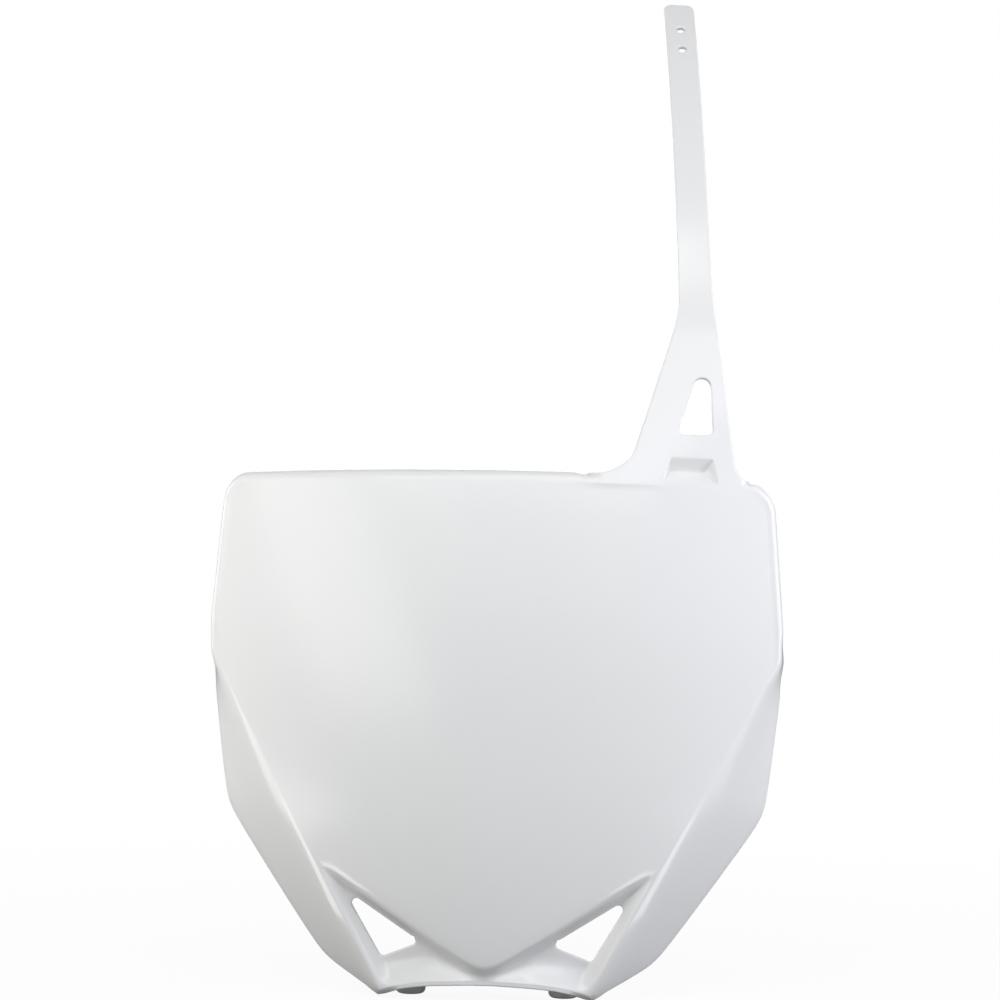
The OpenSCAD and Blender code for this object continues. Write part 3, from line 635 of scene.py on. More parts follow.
def match_outline(around, outline):
    """A point of the outline for each point around it, halfway between same direction and even spacing."""
    count = len(outline)
    full_turn = 2 * math.pi
    out_angle = angles_about(outline, outline.mean(axis=0))
    round_angle = angles_about(around, outline.mean(axis=0))
    shift = round((out_angle[0] - round_angle[0]) / full_turn) * full_turn
    # Two laps more each way hold every starting angle
    laps = np.arange(-2, 3)[:, None]
    lap_angles = (out_angle + full_turn * laps).ravel()
    lap_places = (np.arange(count) + count * laps).ravel()
    by_angle = np.interp(round_angle + shift, lap_angles, lap_places)
    _, s = measured(around)
    even = by_angle[0] + count * s[:-1] / s[-1]
    even += (by_angle - even).mean()
    at = (by_angle + even) / 2 % count
    closed = np.vstack([outline, outline[:1]])
    return np.stack([np.interp(at, np.arange(count + 1), line) for line in closed.T], axis=-1)


class Skin:
    """The outer skin of the moulding as one mesh. Each vertex has a share by which the inner wall is moved
    straight to the rear from it, and not along the normal."""

    def __init__(self):
        self.points = []
        self.shares = []
        self.faces = []
        self.count = 0

    def add(self, points, shares):
        """Adds a grid of points and gives back the grid of their numbers."""
        shape = points.shape[:-1]
        numbers = self.count + np.arange(math.prod(shape)).reshape(shape)
        self.points.append(points.reshape(-1, 3))
        self.shares.append(np.broadcast_to(shares, shape).reshape(-1))
        self.count += numbers.size
        return numbers

    def cover(self, index, holes=()):
        """Covers a grid with quads, apart from blocks given as (row, row, column, column)."""
        faces = quads(index)
        keep = np.ones(faces.shape[:2], bool)
        for r0, r1, c0, c1 in holes:
            keep[r0:r1, c0:c1] = False
        self.faces.append(faces[keep])

    def add_rings(self, edge, rings, surface, rearward, close):
        """Fills a block from its edge with rings, each a closed line of flat places, up to an outline, or up
        to a point in the middle."""
        index = [edge]
        for ring in rings:
            index.append(self.add(surface(ring), rearward))
        if close:
            centre = rings[-1].mean(axis=0, keepdims=True)
            index.append(np.repeat(self.add(surface(centre), rearward), len(edge)))
        self.faces.append(ring_walls(np.stack(index)))

    def arrays(self):
        """Points, shares and quads of the whole skin."""
        return np.vstack(self.points), np.concatenate(self.shares), np.vstack(self.faces)


def face_normals(points, faces):
    """Normals at the vertices: the sum of the crossed diagonals of the faces round each."""
    diagonals = np.cross(points[faces[:, 2]] - points[faces[:, 0]], points[faces[:, 3]] - points[faces[:, 1]])
    normals = np.zeros_like(points)
    for corner in range(4):
        np.add.at(normals, faces[:, corner], diagonals)
    return unit(normals)


def open_edges(faces):
    """Edges that only one face has, each in that face's direction."""
    edges = np.concatenate([faces[:, [k, (k + 1) % 4]] for k in range(4)])
    edges = edges[edges[:, 0] != edges[:, 1]]
    size = edges.max() + 1
    forward = edges[:, 0] * size + edges[:, 1]
    backward = edges[:, 1] * size + edges[:, 0]
    return edges[~np.isin(forward, backward)]


def thicken(points, shares, faces, wall):
    """Closed wall from an outer skin: an inner copy of it, and a rounded rim round every open edge.
    The inner copy is moved in along the normals, or straight to the rear where the share is 1."""
    normals = face_normals(points, faces)
    rear = np.array([0.0, 1.0, 0.0])
    inward = unit(mix(-normals, rear, shares[:, None]))
    slant = np.minimum(SLANT_LIMIT, 1 / np.maximum(-(inward * normals).sum(axis=1), LEAST_FACING))
    inner = points + inward * (wall * mix(1.0, slant, shares))[:, None]

    # Neighbours along the open edge give each of its vertices a direction outwards
    count = len(points)
    edges = open_edges(faces)
    ahead = np.zeros(count, int)
    behind = np.zeros(count, int)
    ahead[edges[:, 0]] = edges[:, 1]
    behind[edges[:, 1]] = edges[:, 0]
    at = edges[:, 0]
    tangent = unit(points[ahead[at]] - points[behind[at]])
    outward = unit(np.cross(tangent, normals[at]))
    number = np.full(count, -1)
    number[at] = np.arange(len(at))

    # Rings of the rim lie between the two skins: a quarter round, the plain wall, and a quarter round
    turn = np.linspace(0, math.pi / 2, RIM_STEPS)[1:]
    deep = np.concatenate([RIM_R * (1 - np.cos(turn)), wall - RIM_R * (1 - np.sin(turn))])
    out = np.concatenate([RIM_R * np.sin(turn), RIM_R * np.cos(turn)])[:-1]
    deep = (deep / wall)[: len(out)]
    rim = mix(points[at], inner[at], deep[:, None, None]) + outward * out[:, None, None]
    first = 2 * count
    ring_index = [at] + [first + k * len(at) + np.arange(len(at)) for k in range(len(out))] + [at + count]
    rim_faces = []
    start = number[edges[:, 0]]
    end = number[edges[:, 1]]
    for near, far in zip(ring_index, ring_index[1:]):
        rim_faces.append(np.stack([near[end], near[start], far[start], far[end]], axis=-1))
    all_points = np.vstack([points, inner, rim.reshape(-1, 3)])
    all_faces = np.vstack([faces, faces[:, ::-1] + count] + rim_faces)
    return all_points, all_faces


def spread(loop_places, outline, count, ease):
    """Rings of flat places between a block's edge and an outline, closer together at the outline."""
    target = match_outline(loop_places, outline)
    shares = 1 - (1 - np.arange(1, count + 1) / count) ** ease
    return [mix(loop_places, target, t) for t in shares]


def window_outline(b, side):
    """Outline of a window: a belt round circles set in from the corners, mirrored for the left window."""
    corners = np.array(WINDOW_CORNERS)
    centres = corners + unit(corners.mean(axis=0) - corners) * b.window_r
    outline = belt([(x, z, b.window_r) for x, z in centres], RIM_R)
    return outline if side > 0 else (outline * [-1, 1])[::-1]


def on_path(path, outline):
    """An outline given across and up from the root, with its heights turned into lengths along the path."""
    return np.stack([outline[:, 0], np.interp(outline[:, 1], path.up, path.s)], axis=-1)


def pocket_depth(b, x, up):
    """Depth of the pocket below the neck's skin: the least of its floor, roof and sides, softly joined."""
    slope = b.pocket_deep / (b.pocket_h - b.pocket_draft)
    taper = b.pocket_taper * (up - b.pocket_up) / b.pocket_h
    left = b.pocket_x - b.pocket_w / 2 + taper
    right = b.pocket_x + b.pocket_w / 2 - taper
    floor = slope * (up - b.pocket_up)
    roof = (b.pocket_up + b.pocket_h - up) * b.pocket_deep / b.pocket_draft
    left_side = (x - left) * b.pocket_deep / POCKET_SIDE
    right_side = (right - x) * b.pocket_deep / b.pocket_draft
    upright = soft_min(floor, roof, POCKET_SOFT)
    sideways = soft_min(left_side, right_side, POCKET_SOFT)
    return soft_max(soft_min(upright, sideways, POCKET_SOFT), 0.0, POCKET_SOFT / 3)


def pocket_rings(b, path, loop_places):
    """Rings of the pocket: in to its edge, down its walls in small steps, then in to its floor's middle."""
    r = POCKET_CORNER
    low_half = b.pocket_w / 2 - r
    high_half = low_half - b.pocket_taper
    low = b.pocket_up + r
    high = b.pocket_up + b.pocket_h - r
    places = ((-low_half, low), (low_half, low), (high_half, high), (-high_half, high))
    corners = [(b.pocket_x + aside, up, r) for aside, up in places]
    edge = match_outline(loop_places, on_path(path, belt(corners, POCKET_EDGE_GROW)))
    rings = [mix(loop_places, edge, t) for t in POCKET_EDGE_SHARES]
    rings += [match_outline(loop_places, on_path(path, belt(corners, grow))) for grow in POCKET_WALL_GROWS]
    floor_edge = rings[-1]
    return rings + [mix(floor_edge, floor_edge.mean(axis=0), t) for t in POCKET_FLOOR_SHARES]


class Sheet:
    """A grid of the skin's vertices with their flat places, and the blocks that are cut out of it."""

    def __init__(self, index, places):
        self.index = index
        self.places = places
        self.holes = []

    def fill(self, skin, block, make_rings, surface, rearward, close=False):
        """Cuts out a block and fills it with the rings that are made from the places round it."""
        self.holes.append(block)
        rings = make_rings(block_loop(self.places, *block))
        skin.add_rings(block_loop(self.index, *block), rings, surface, rearward, close)

    def block(self, along, across):
        """Block that holds a stretch along the rows' places and a stretch across, with a cell to spare."""
        rows = np.searchsorted(self.places[:, 0, 1], along) - (1, 0)
        lows = [np.searchsorted(self.places[row, :, 0], across[0]) - 1 for row in rows]
        highs = [np.searchsorted(self.places[row, :, 0], across[1]) for row in rows]
        return rows[0], rows[1], max(min(lows), 1), min(max(highs), self.places.shape[1] - 2)


def face_shares(b, x, z, u):
    """Share by which the inner wall lies straight behind the face: one at the foot and off the edges."""
    straight = 1 - smooth((z - b.foot_z) / (b.wing_low_z - b.foot_z))
    free = smooth((side_x(b, z) - np.abs(x)) / EDGE_RUN) * smooth((top_line(b, u)[None, :] - z) / EDGE_RUN)
    return straight + (1 - straight) * free


def neck_root(b, path, top_x):
    """Where the neck stands on the roll line: its own sides, and the nearest columns of the face."""
    left, right = (float(side) for side in strap_sides(b, path, np.array(b.lip_out)))
    first = int(np.argmin(np.abs(top_x - left)))
    last = int(np.argmin(np.abs(top_x - right)))
    return SimpleNamespace(
        left=left, right=right, first=first, last=last, first_x=top_x[first], last_x=top_x[last]
    )


def fold_size(b, loop, on_bottom, on_top):
    """Width and depth of the fold-back at each place of the face's edge: a low land along the bottom, the
    wings and flanges at the sides, the lip along the top, and a soft change round each top corner."""
    size = side_size(b, loop[:, 2])
    foot = smooth((np.abs(loop[:, 0]) - b.foot_w / 2 + FOOT_BLEND) / FOOT_BLEND)[:, None]
    bottom = mix(np.array([b.bottom_land, 0.0]), np.array([b.wing_foot_out, b.wing_foot_back]), foot)
    size = np.where(on_bottom[:, None], bottom, size)
    across = np.abs(loop[:, 0]) - side_x(b, b.top_z) + corner_radius(b, loop[:, 0])
    above = loop[:, 2] - b.top_z + corner_radius(b, loop[:, 0])
    corner = smooth(np.arctan2(np.maximum(across, 0), np.maximum(above, TINY)) / (math.pi / 2))
    lip = mix(np.array([b.lip_out, b.lip_back]), size, corner[:, None])
    near_top = on_top | ((across > 0) & (above > 0))
    return np.where(near_top[:, None], lip, size)


def wing_profile(b, loop, outward, size, q):
    """Fold-back of the wings, out and back: it leaves the face in the face's own direction and turns to its
    own over the ridge's rounding, as an exponential."""
    near = skin_y(b, loop[:, 0] - outward[:, 0], loop[:, 2] - outward[:, 1])
    slope = skin_y(b, loop[:, 0], loop[:, 2]) - near
    turn = unit(np.stack([np.ones_like(slope), slope], axis=-1)) - unit(size)
    reach = np.linalg.norm(size, axis=1)[:, None]
    soft = np.minimum(b.ridge_r, reach * RIDGE_LIMIT)
    run = (q**RING_CROWDING)[:, None, None]
    whole_turn = soft * (1 - np.exp(-reach / soft)) * turn
    return run * (size - whole_turn) + soft * (1 - np.exp(-run * reach / soft)) * turn


def rolled_profile(size, q):
    """Fold-back of the flanges and the lip, out and back: a quarter circle, and then straight to the rear."""
    radius = size[:, 0]
    arc = radius * math.pi / 2
    run = q[:, None] * (arc + np.maximum(size[:, 1] - radius, 0))
    bow = np.minimum(run, arc) / radius
    back = radius * (1 - np.cos(bow)) + np.maximum(run - arc, 0)
    return np.stack([radius * np.sin(bow), back], axis=-1)


def root_points(b, path, loop, neck, q):
    """The fold-back at the neck's root: the neck's own surface, up to the lip's height or to the fillet on
    its right."""
    fillet_x, fillet_up, _ = outer_fillet(b)
    beside = np.clip(fillet_x - loop[:, 0], 0, b.fillet_right)
    height = np.minimum(b.lip_out, fillet_up - np.sqrt(b.fillet_right**2 - beside**2) - RIM_R)
    height = np.where(loop[:, 0] > neck.last_x, height, b.lip_out)
    return neck_at(b, path, np.broadcast_to(loop[:, 0], (len(q), len(loop))), q[:, None] * height)


def add_fold(skin, b, path, face, face_index, neck, q):
    """Adds the fold-back round the face and gives back its grid of numbers below the neck, face edge first.
    Each ring is a share q of the way from the face's edge to the moulding's own edge."""
    last_row = face_index.shape[0] - 1
    last_column = face_index.shape[1] - 1
    loop_index = block_loop(face_index, 0, last_row, 0, last_column)
    loop = block_loop(face, 0, last_row, 0, last_column)
    place = np.arange(len(loop))
    top_end = 2 * last_column + last_row
    on_bottom = place <= last_column
    on_top = (place >= last_column + last_row) & (place <= top_end)
    tangent = along_loop(loop[:, [0, 2]], EDGE_REACH)
    outward = np.stack([tangent[:, 1], -tangent[:, 0]], axis=-1)

    size = fold_size(b, loop, on_bottom, on_top)
    roll = smooth((loop[:, 2] - b.shoulder_z + SHOULDER_BLEND) / (2 * SHOULDER_BLEND))
    roll = np.where(on_bottom, 0.0, roll)
    offset = mix(wing_profile(b, loop, outward, size, q), rolled_profile(size, q), roll[:, None])
    fold = loop + np.stack(
        [outward[:, 0] * offset[..., 0], offset[..., 1], outward[:, 1] * offset[..., 0]], axis=-1
    )
    root_start = smooth((loop[:, 0] - neck.first_x + LIP_BLEND) / LIP_BLEND)
    root_end = smooth((neck.last_x + LIP_END_BLEND - loop[:, 0]) / LIP_END_BLEND)
    root = np.where(on_top, root_start * root_end, 0.0)
    fold = mix(fold, root_points(b, path, loop, neck, q), root[:, None])

    straight = 1 - smooth((loop[:, 2] - b.foot_z) / (b.wing_low_z - b.foot_z))
    rings_index = skin.add(fold[1:], np.where(on_bottom, 1.0, straight))
    fold_index = np.vstack([loop_index[None, :], rings_index])
    closed = np.concatenate([fold_index, fold_index[:, :1]], axis=1)
    first = top_end - neck.last
    last = top_end - neck.first
    skin.cover(closed[:, : first + 1][::-1])
    skin.cover(closed[:, last:][::-1])
    return fold_index[:, first : last + 1][:, ::-1]


def neck_places(b, path, top_x, neck, q):
    """Flat places of the neck and strap, across and along the path: the fold-back's rows at the root, rows
    that close up towards it, even rows along the strap, and rows round its tip."""
    tip_start = path.length - b.tip_r
    s_neck = mix(b.lip_out, b.neck_len, (np.arange(1, NECK_ROWS + 1) / NECK_ROWS) ** ROW_CROWDING)
    s_strap = mix(b.neck_len, tip_start, np.arange(1, STRAP_ROWS + 1) / STRAP_ROWS)
    s_tip = tip_start + (b.tip_r - RIM_R) * np.sin(math.pi / 2 * np.arange(1, TIP_ROWS + 1) / TIP_ROWS)
    s = np.concatenate([s_neck, s_strap, s_tip])
    left, right = strap_sides(b, path, s)
    settle = 1 - smooth((s - b.lip_out) / (b.fillet_left - SETTLE_EARLY))
    left = left + (neck.first_x - neck.left) * settle
    right = right + (neck.last_x - neck.right) * settle
    root_x = top_x[neck.first : neck.last + 1]
    across = (root_x - neck.first_x) / (neck.last_x - neck.first_x)
    neck_x = mix(left[:, None], right[:, None], across[None, :])
    x = np.vstack([np.broadcast_to(root_x, (len(q), len(root_x))), neck_x])
    s = np.concatenate([q * b.lip_out, s])
    return np.stack([x, np.broadcast_to(s[:, None], x.shape)], axis=-1)


def add_neck(skin, b, path, places, root_index):
    """Adds the neck and strap above the rows at their root, with the slot, the pocket and the strap holes."""

    def plain(flat):
        return neck_at(b, path, flat[..., 0], flat[..., 1])

    def pocketed(flat):
        depth = pocket_depth(b, flat[:, 0], np.interp(flat[:, 1], path.s, path.up))
        return neck_at(b, path, flat[:, 0], flat[:, 1], depth)

    strap_index = skin.add(plain(places[len(root_index) :]), 0.0)
    sheet = Sheet(np.vstack([root_index, strap_index]), places)
    slot = on_path(path, belt(SLOT_CIRCLES, RIM_R))
    sheet.fill(skin, sheet.block(*SLOT_BLOCK), lambda p: spread(p, slot, *SLOT_RINGS), plain, 0.0)

    below, above, aside = POCKET_BLOCK
    half = b.pocket_w / 2 + aside
    block = sheet.block((below, b.pocket_up + b.pocket_h + above), (b.pocket_x - half, b.pocket_x + half))
    sheet.fill(skin, block, lambda p: pocket_rings(b, path, p), pocketed, 0.0, close=True)

    along, across = HOLE_BLOCK
    turn = np.linspace(0, 2 * math.pi, HOLE_POINTS, endpoint=False)
    circle = (b.hole_r + RIM_R) * np.stack([np.cos(turn), np.sin(turn)], axis=-1)
    for distance in (b.hole_end, b.hole_end + b.hole_pitch):
        s = path.length - distance
        x = b.strap_x - np.interp(s, path.s, path.rear) * math.tan(b.strap_turn)
        block = sheet.block((s - along, s + along), (x - across, x + across))
        sheet.fill(skin, block, lambda p: spread(p, circle + (x, s), *HOLE_RINGS), plain, 0.0)
    skin.cover(sheet.index, sheet.holes)


def window_block(x, z, outline):
    """The smallest block of rows and columns that holds an outline with cells to spare."""
    points = outline[::LOOK_UP_STEP]
    distance = (x[..., None] - points[:, 0]) ** 2 + (z[..., None] - points[:, 1]) ** 2
    rows, columns = np.unravel_index(distance.reshape(-1, len(points)).argmin(axis=0), x.shape)
    return (
        max(rows.min() - SPARE_CELLS, 1),
        min(rows.max() + SPARE_CELLS, PANEL_ROWS + STEP_FOOT_ROWS),
        columns.min() - SPARE_CELLS,
        columns.max() + SPARE_CELLS,
    )


def build_skin(b):
    """Outer skin of the whole moulding: face, fold-back, neck and strap in one mesh, with windows, slot,
    strap holes and pocket set into it."""
    skin = Skin()
    path = strap_path(b)
    x, z, u = face_rows(b)
    x, z = round_corners(b, x, z, u)
    face = face_at(b, x, z)
    face_index = skin.add(face, face_shares(b, x, z, u))
    neck = neck_root(b, path, x[-1])
    q = np.arange(FOLD_RINGS + 1) / FOLD_RINGS
    root_index = add_fold(skin, b, path, face, face_index, neck, q)
    add_neck(skin, b, path, neck_places(b, path, x[-1], neck, q), root_index)

    sheet = Sheet(face_index, np.stack([x, z], axis=-1))
    for side in (-1, 1):
        outline = window_outline(b, side)
        sheet.fill(
            skin,
            window_block(x, z, outline),
            lambda p: spread(p, outline, *WINDOW_RINGS),
            lambda flat: face_at(b, flat[:, 0], flat[:, 1]),
            1.0,
        )
    skin.cover(face_index, sheet.holes)
    return skin.arrays()


def revolve(profile, steps, centre, axis):
    """Closed solid turned from a profile of (radius, height) points about an axis through the centre."""
    turn = np.linspace(0, 2 * math.pi, steps, endpoint=False)
    r, h = np.array(profile, float).T
    height = np.broadcast_to(h[:, None], (len(r), steps))
    ring = np.stack([r[:, None] * np.cos(turn), r[:, None] * np.sin(turn), height], axis=-1)
    if axis == "Y":
        ring = np.stack([ring[..., 0], ring[..., 2], -ring[..., 1]], axis=-1)
    points = ring.reshape(-1, 3) + np.array(centre)
    index = np.arange(len(points)).reshape(len(r), steps)
    return points, ring_walls(index).tolist() + [index[0][::-1].tolist(), index[-1].tolist()]


def quarter(centre_r, centre_h, radius, start):
    """Points of a quarter circle in a profile, anticlockwise from a starting angle in degrees."""
    turn = np.radians(np.linspace(start, start + 90, QUARTER_STEPS))
    return [(centre_r + radius * math.cos(t), centre_h + radius * math.sin(t)) for t in turn]


def slab(outline, low, high, radius):
    """Closed plate over a flat anticlockwise outline between two heights, with rounded long edges."""
    direction = along_loop(outline, ROUND_REACH)
    outward = np.stack([direction[:, 1], -direction[:, 0]], axis=-1)
    turn = np.linspace(0, math.pi / 2, ROUND_STEPS)
    near_end = radius * (1 - np.sin(turn))
    near_side = radius * (1 - np.cos(turn))
    insets = np.concatenate([near_end, near_side])[:, None, None]
    heights = np.concatenate([low + near_side, high - near_end])
    flat = outline - outward * insets
    points = np.dstack([flat, np.broadcast_to(heights[:, None], flat.shape[:2])]).reshape(-1, 3)
    index = np.arange(len(points)).reshape(len(heights), -1)
    # Each end is a ladder of quads between the two halves of the outline, so that a hollow front stays hollow
    rung = np.arange(len(outline) // 2 - 1)
    ladder = np.stack([rung, rung + 1, len(outline) - 2 - rung, len(outline) - 1 - rung], axis=-1)
    ends = [index[0][ladder[:, ::-1]], index[-1][ladder]]
    return points, np.vstack([ring_walls(index), *ends]).tolist()


def wall_place(b, x, z):
    """Depth of a place inside the wall behind the face."""
    return skin_y(b, x, z) + recess_y(b, x, z) + WALL_SHARE * b.wall


def shelf_outline(b):
    """Outline of the shelf: its front follows the panel's wall, and its rear is a round-ended bar."""
    r = b.peg_r + b.shelf_margin
    end = b.peg_gap / 2
    front_x = np.linspace(-end - r, end + r, SHELF_FRONT_POINTS)
    front = np.column_stack([front_x, wall_place(b, front_x, b.shelf_t / 2)])
    turn = np.linspace(0, math.pi / 2, SHELF_END_POINTS)
    right = np.column_stack([end + r * np.cos(turn), r * np.sin(turn)])
    left = np.column_stack([-end - r * np.sin(turn), r * np.cos(turn)])
    return evenly(np.vstack([front, right, left]), SHELF_POINTS)


def rib_outline(b, x):
    """Outline of a rib, rear and up: from the shelf's rear half to the wall behind the face."""
    z = np.linspace(b.shelf_t + b.rib_h, b.shelf_t / 2, RIB_FRONT_POINTS)
    front = np.column_stack([wall_place(b, x, z), z])
    corner = np.array([[b.peg_r, b.shelf_t / 2], [wall_place(b, x, z[0]) + b.wall, z[0]]])
    return evenly(np.vstack([corner, front]), RIB_POINTS)


def join_parts(parts):
    """One list of points and faces from several."""
    points = np.vstack([part_points for part_points, _ in parts])
    starts = np.cumsum([0] + [len(part_points) for part_points, _ in parts])
    faces = []
    for (_, part_faces), start in zip(parts, starts.tolist()):
        faces += [[number + start for number in face] for face in part_faces]
    return points, faces


def without_doubles(faces):
    """Quads as lists, and as triangles where a fan's quads have both their first or both their last two
    corners in one place."""
    last_doubled = faces[:, 2] == faces[:, 3]
    first_doubled = faces[:, 0] == faces[:, 1]
    plain = faces[~(last_doubled | first_doubled)]
    return plain.tolist() + faces[last_doubled][:, :3].tolist() + faces[first_doubled][:, 1:].tolist()


def add_piece(name, points, faces, material):
    """A smooth-shaded mesh object at the origin, its points given in millimetres, on the part's body."""
    mesh = bpy.data.meshes.new(name)
    mesh.from_pydata((np.asarray(points) / MILLIMETRES).tolist(), [], faces)
    mesh.validate()
    mesh.shade_smooth()
    mesh.materials.append(material)
    piece = bpy.data.objects.new(name, mesh)
    bpy.context.scene.collection.objects.link(piece)
    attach(piece, BODY)
    return piece


def add_node(tree, kind, settings=None, inputs=None, links=None):
    """Adds a node, sets its settings and input values, and links its inputs to other nodes' outputs."""
    node = tree.nodes.new(kind)
    for name, value in (settings or {}).items():
        setattr(node, name, value)
    for name, value in (inputs or {}).items():
        node.inputs[name].default_value = value
    for name, (source, output) in (links or {}).items():
        tree.links.new(source.outputs[output], node.inputs[name])
    return node


# White polypropylene: patch of the melt's flow, length of the ripple and size of the grain, in millimetres
FLOW_PATCH = 60.0
RIPPLE_LENGTH = 25.0
GRAIN_SIZE = 0.8
# Height in metres and strength of the ripple and the grain
RIPPLE_BUMP = (0.0004, 0.12)
GRAIN_BUMP = (0.00002, 0.05)
# Roughness where the flow is finest and coarsest, and the plastic's refractive index
ROUGHNESS = (0.15, 0.19)
POLYPROPYLENE_IOR = 1.49
# Sockets of a colour Mix node, which have the same name for each kind of value
MIX_FACTOR = 0
MIX_A = 6
MIX_B = 7
MIX_RESULT = 2


def white_polypropylene(colours):
    """Injection-moulded polypropylene in gloss white. The polished tool gives a clear sheen, the shrinking
    melt a faint long ripple, and its fine skin a soft edge to every highlight."""
    material = bpy.data.materials.get("moulded_white_polypropylene")
    if material:
        return material
    material = bpy.data.materials.new("moulded_white_polypropylene")
    material.use_nodes = True
    tree = material.node_tree
    tree.nodes.clear()
    place = add_node(tree, "ShaderNodeTexCoord")
    # Flow of the melt, which shades the white and its roughness a little
    flow = add_node(
        tree,
        "ShaderNodeTexNoise",
        inputs={"Scale": MILLIMETRES / FLOW_PATCH, "Detail": 2.0, "Roughness": 0.5},
        links={"Vector": (place, "Object")},
    )
    shade = add_node(
        tree,
        "ShaderNodeMix",
        {"data_type": "RGBA"},
        {MIX_A: colours.plastic, MIX_B: colours.plastic_shade},
        {MIX_FACTOR: (flow, "Fac")},
    )
    # Ripple of the shrunk wall, and the fine skin of the tool, which is drawn coarser than it is to show
    ripple = add_node(
        tree,
        "ShaderNodeTexNoise",
        inputs={"Scale": MILLIMETRES / RIPPLE_LENGTH, "Detail": 1.0},
        links={"Vector": (place, "Object")},
    )
    grain = add_node(
        tree,
        "ShaderNodeTexNoise",
        inputs={"Scale": MILLIMETRES / GRAIN_SIZE, "Detail": 2.0},
        links={"Vector": (place, "Object")},
    )
    ripple_bump = add_node(
        tree,
        "ShaderNodeBump",
        inputs={"Distance": RIPPLE_BUMP[0], "Strength": RIPPLE_BUMP[1]},
        links={"Height": (ripple, "Fac")},
    )
    grain_bump = add_node(
        tree,
        "ShaderNodeBump",
        inputs={"Distance": GRAIN_BUMP[0], "Strength": GRAIN_BUMP[1]},
        links={"Height": (grain, "Fac"), "Normal": (ripple_bump, "Normal")},
    )
    gloss = add_node(
        tree,
        "ShaderNodeMapRange",
        inputs={"To Min": ROUGHNESS[0], "To Max": ROUGHNESS[1]},
        links={"Value": (flow, "Fac")},
    )
    surface = add_node(
        tree,
        "ShaderNodeBsdfPrincipled",
        inputs={"IOR": POLYPROPYLENE_IOR, "Metallic": 0.0},
        links={
            "Base Color": (shade, MIX_RESULT),
            "Roughness": (gloss, "Result"),
            "Normal": (grain_bump, "Normal"),
        },
    )
    add_node(tree, "ShaderNodeOutputMaterial", links={"Surface": (surface, "BSDF")})
    return material


# Floor: its height, its reach, and where its shadow's fade starts and ends, in metres from the middle
FLOOR_Z = -0.0095
FLOOR_REACH = 8.0
FADE_START = 0.1
FADE_END = 0.7
# Share of plain white that covers the floor's own shading where the fade starts, and that white
FADE_WHITE = 0.92
WHITE = (1, 1, 1, 1)


def studio_floor(colours):
    """Matt white paper sweep. It shows the camera its own white, and keeps a soft shadow near the part."""
    material = bpy.data.materials.new("matt_white_paper_floor")
    material.use_nodes = True
    tree = material.node_tree
    tree.nodes.clear()
    place = add_node(tree, "ShaderNodeTexCoord")
    distance = add_node(tree, "ShaderNodeVectorMath", {"operation": "LENGTH"}, links={0: (place, "Object")})
    fade = add_node(
        tree,
        "ShaderNodeMapRange",
        inputs={"From Min": FADE_START, "From Max": FADE_END, "To Min": FADE_WHITE, "To Max": 1.0},
        links={"Value": (distance, "Value")},
    )
    rays = add_node(tree, "ShaderNodeLightPath")
    amount = add_node(
        tree,
        "ShaderNodeMath",
        {"operation": "MULTIPLY"},
        links={0: (rays, "Is Camera Ray"), 1: (fade, "Result")},
    )
    tone = add_node(
        tree,
        "ShaderNodeMix",
        {"data_type": "RGBA"},
        {MIX_A: colours.floor_bounce, MIX_B: colours.floor},
        {MIX_FACTOR: (rays, "Is Camera Ray")},
    )
    paper = add_node(tree, "ShaderNodeBsdfDiffuse", links={"Color": (tone, MIX_RESULT)})
    white = add_node(tree, "ShaderNodeEmission", inputs={"Color": WHITE, "Strength": 1.0})
    both = add_node(
        tree,
        "ShaderNodeMixShader",
        links={0: (amount, "Value"), 1: (paper, "BSDF"), 2: (white, "Emission")},
    )
    add_node(tree, "ShaderNodeOutputMaterial", links={"Surface": (both, "Shader")})
    return material


# Middle of the board, which the softboxes face, and lift of the cards off the floor, in metres
BOARD_MIDDLE = (0.0, -0.02, 0.13)
CARD_LIFT = 0.005


def facing_board(azimuth, height, distance, roll=0.0):
    """Placing of a lamp that faces the board, from its directions in degrees and its distance in metres.
    The azimuth runs to the right from straight in front, and the roll turns the lamp about its own axis."""
    side = math.radians(azimuth)
    rise = math.radians(height)
    away = Vector((math.sin(side) * math.cos(rise), -math.cos(side) * math.cos(rise), math.sin(rise)))
    turn = away.to_track_quat("Z", "Y").to_matrix().to_4x4() @ Matrix.Rotation(math.radians(roll), 4, "Z")
    return Matrix.Translation(Vector(BOARD_MIDDLE) + away * distance) @ turn


def lying_on_floor(x, y, turn=0.0):
    """Placing of a lamp that lies on the floor, turned by an angle in degrees, and shines upwards."""
    upwards = Matrix.Rotation(math.radians(turn), 4, "Z") @ Matrix.Rotation(math.pi, 4, "X")
    return Matrix.Translation((x, y, FLOOR_Z + CARD_LIFT)) @ upwards


def add_lamp(name, placing, size, watts, tint="#FFFFFF", gloss_only=False):
    """A rectangular softbox that the camera doesn't see directly, or a card seen in the gloss alone."""
    lamp = bpy.data.lights.new(name, "AREA")
    lamp.shape = "RECTANGLE"
    lamp.size, lamp.size_y = size
    lamp.energy = watts
    lamp.color = linear(tint)[:3]
    holder = bpy.data.objects.new(name, lamp)
    bpy.context.scene.collection.objects.link(holder)
    holder.matrix_world = placing
    holder.visible_camera = False
    holder.visible_diffuse = not gloss_only


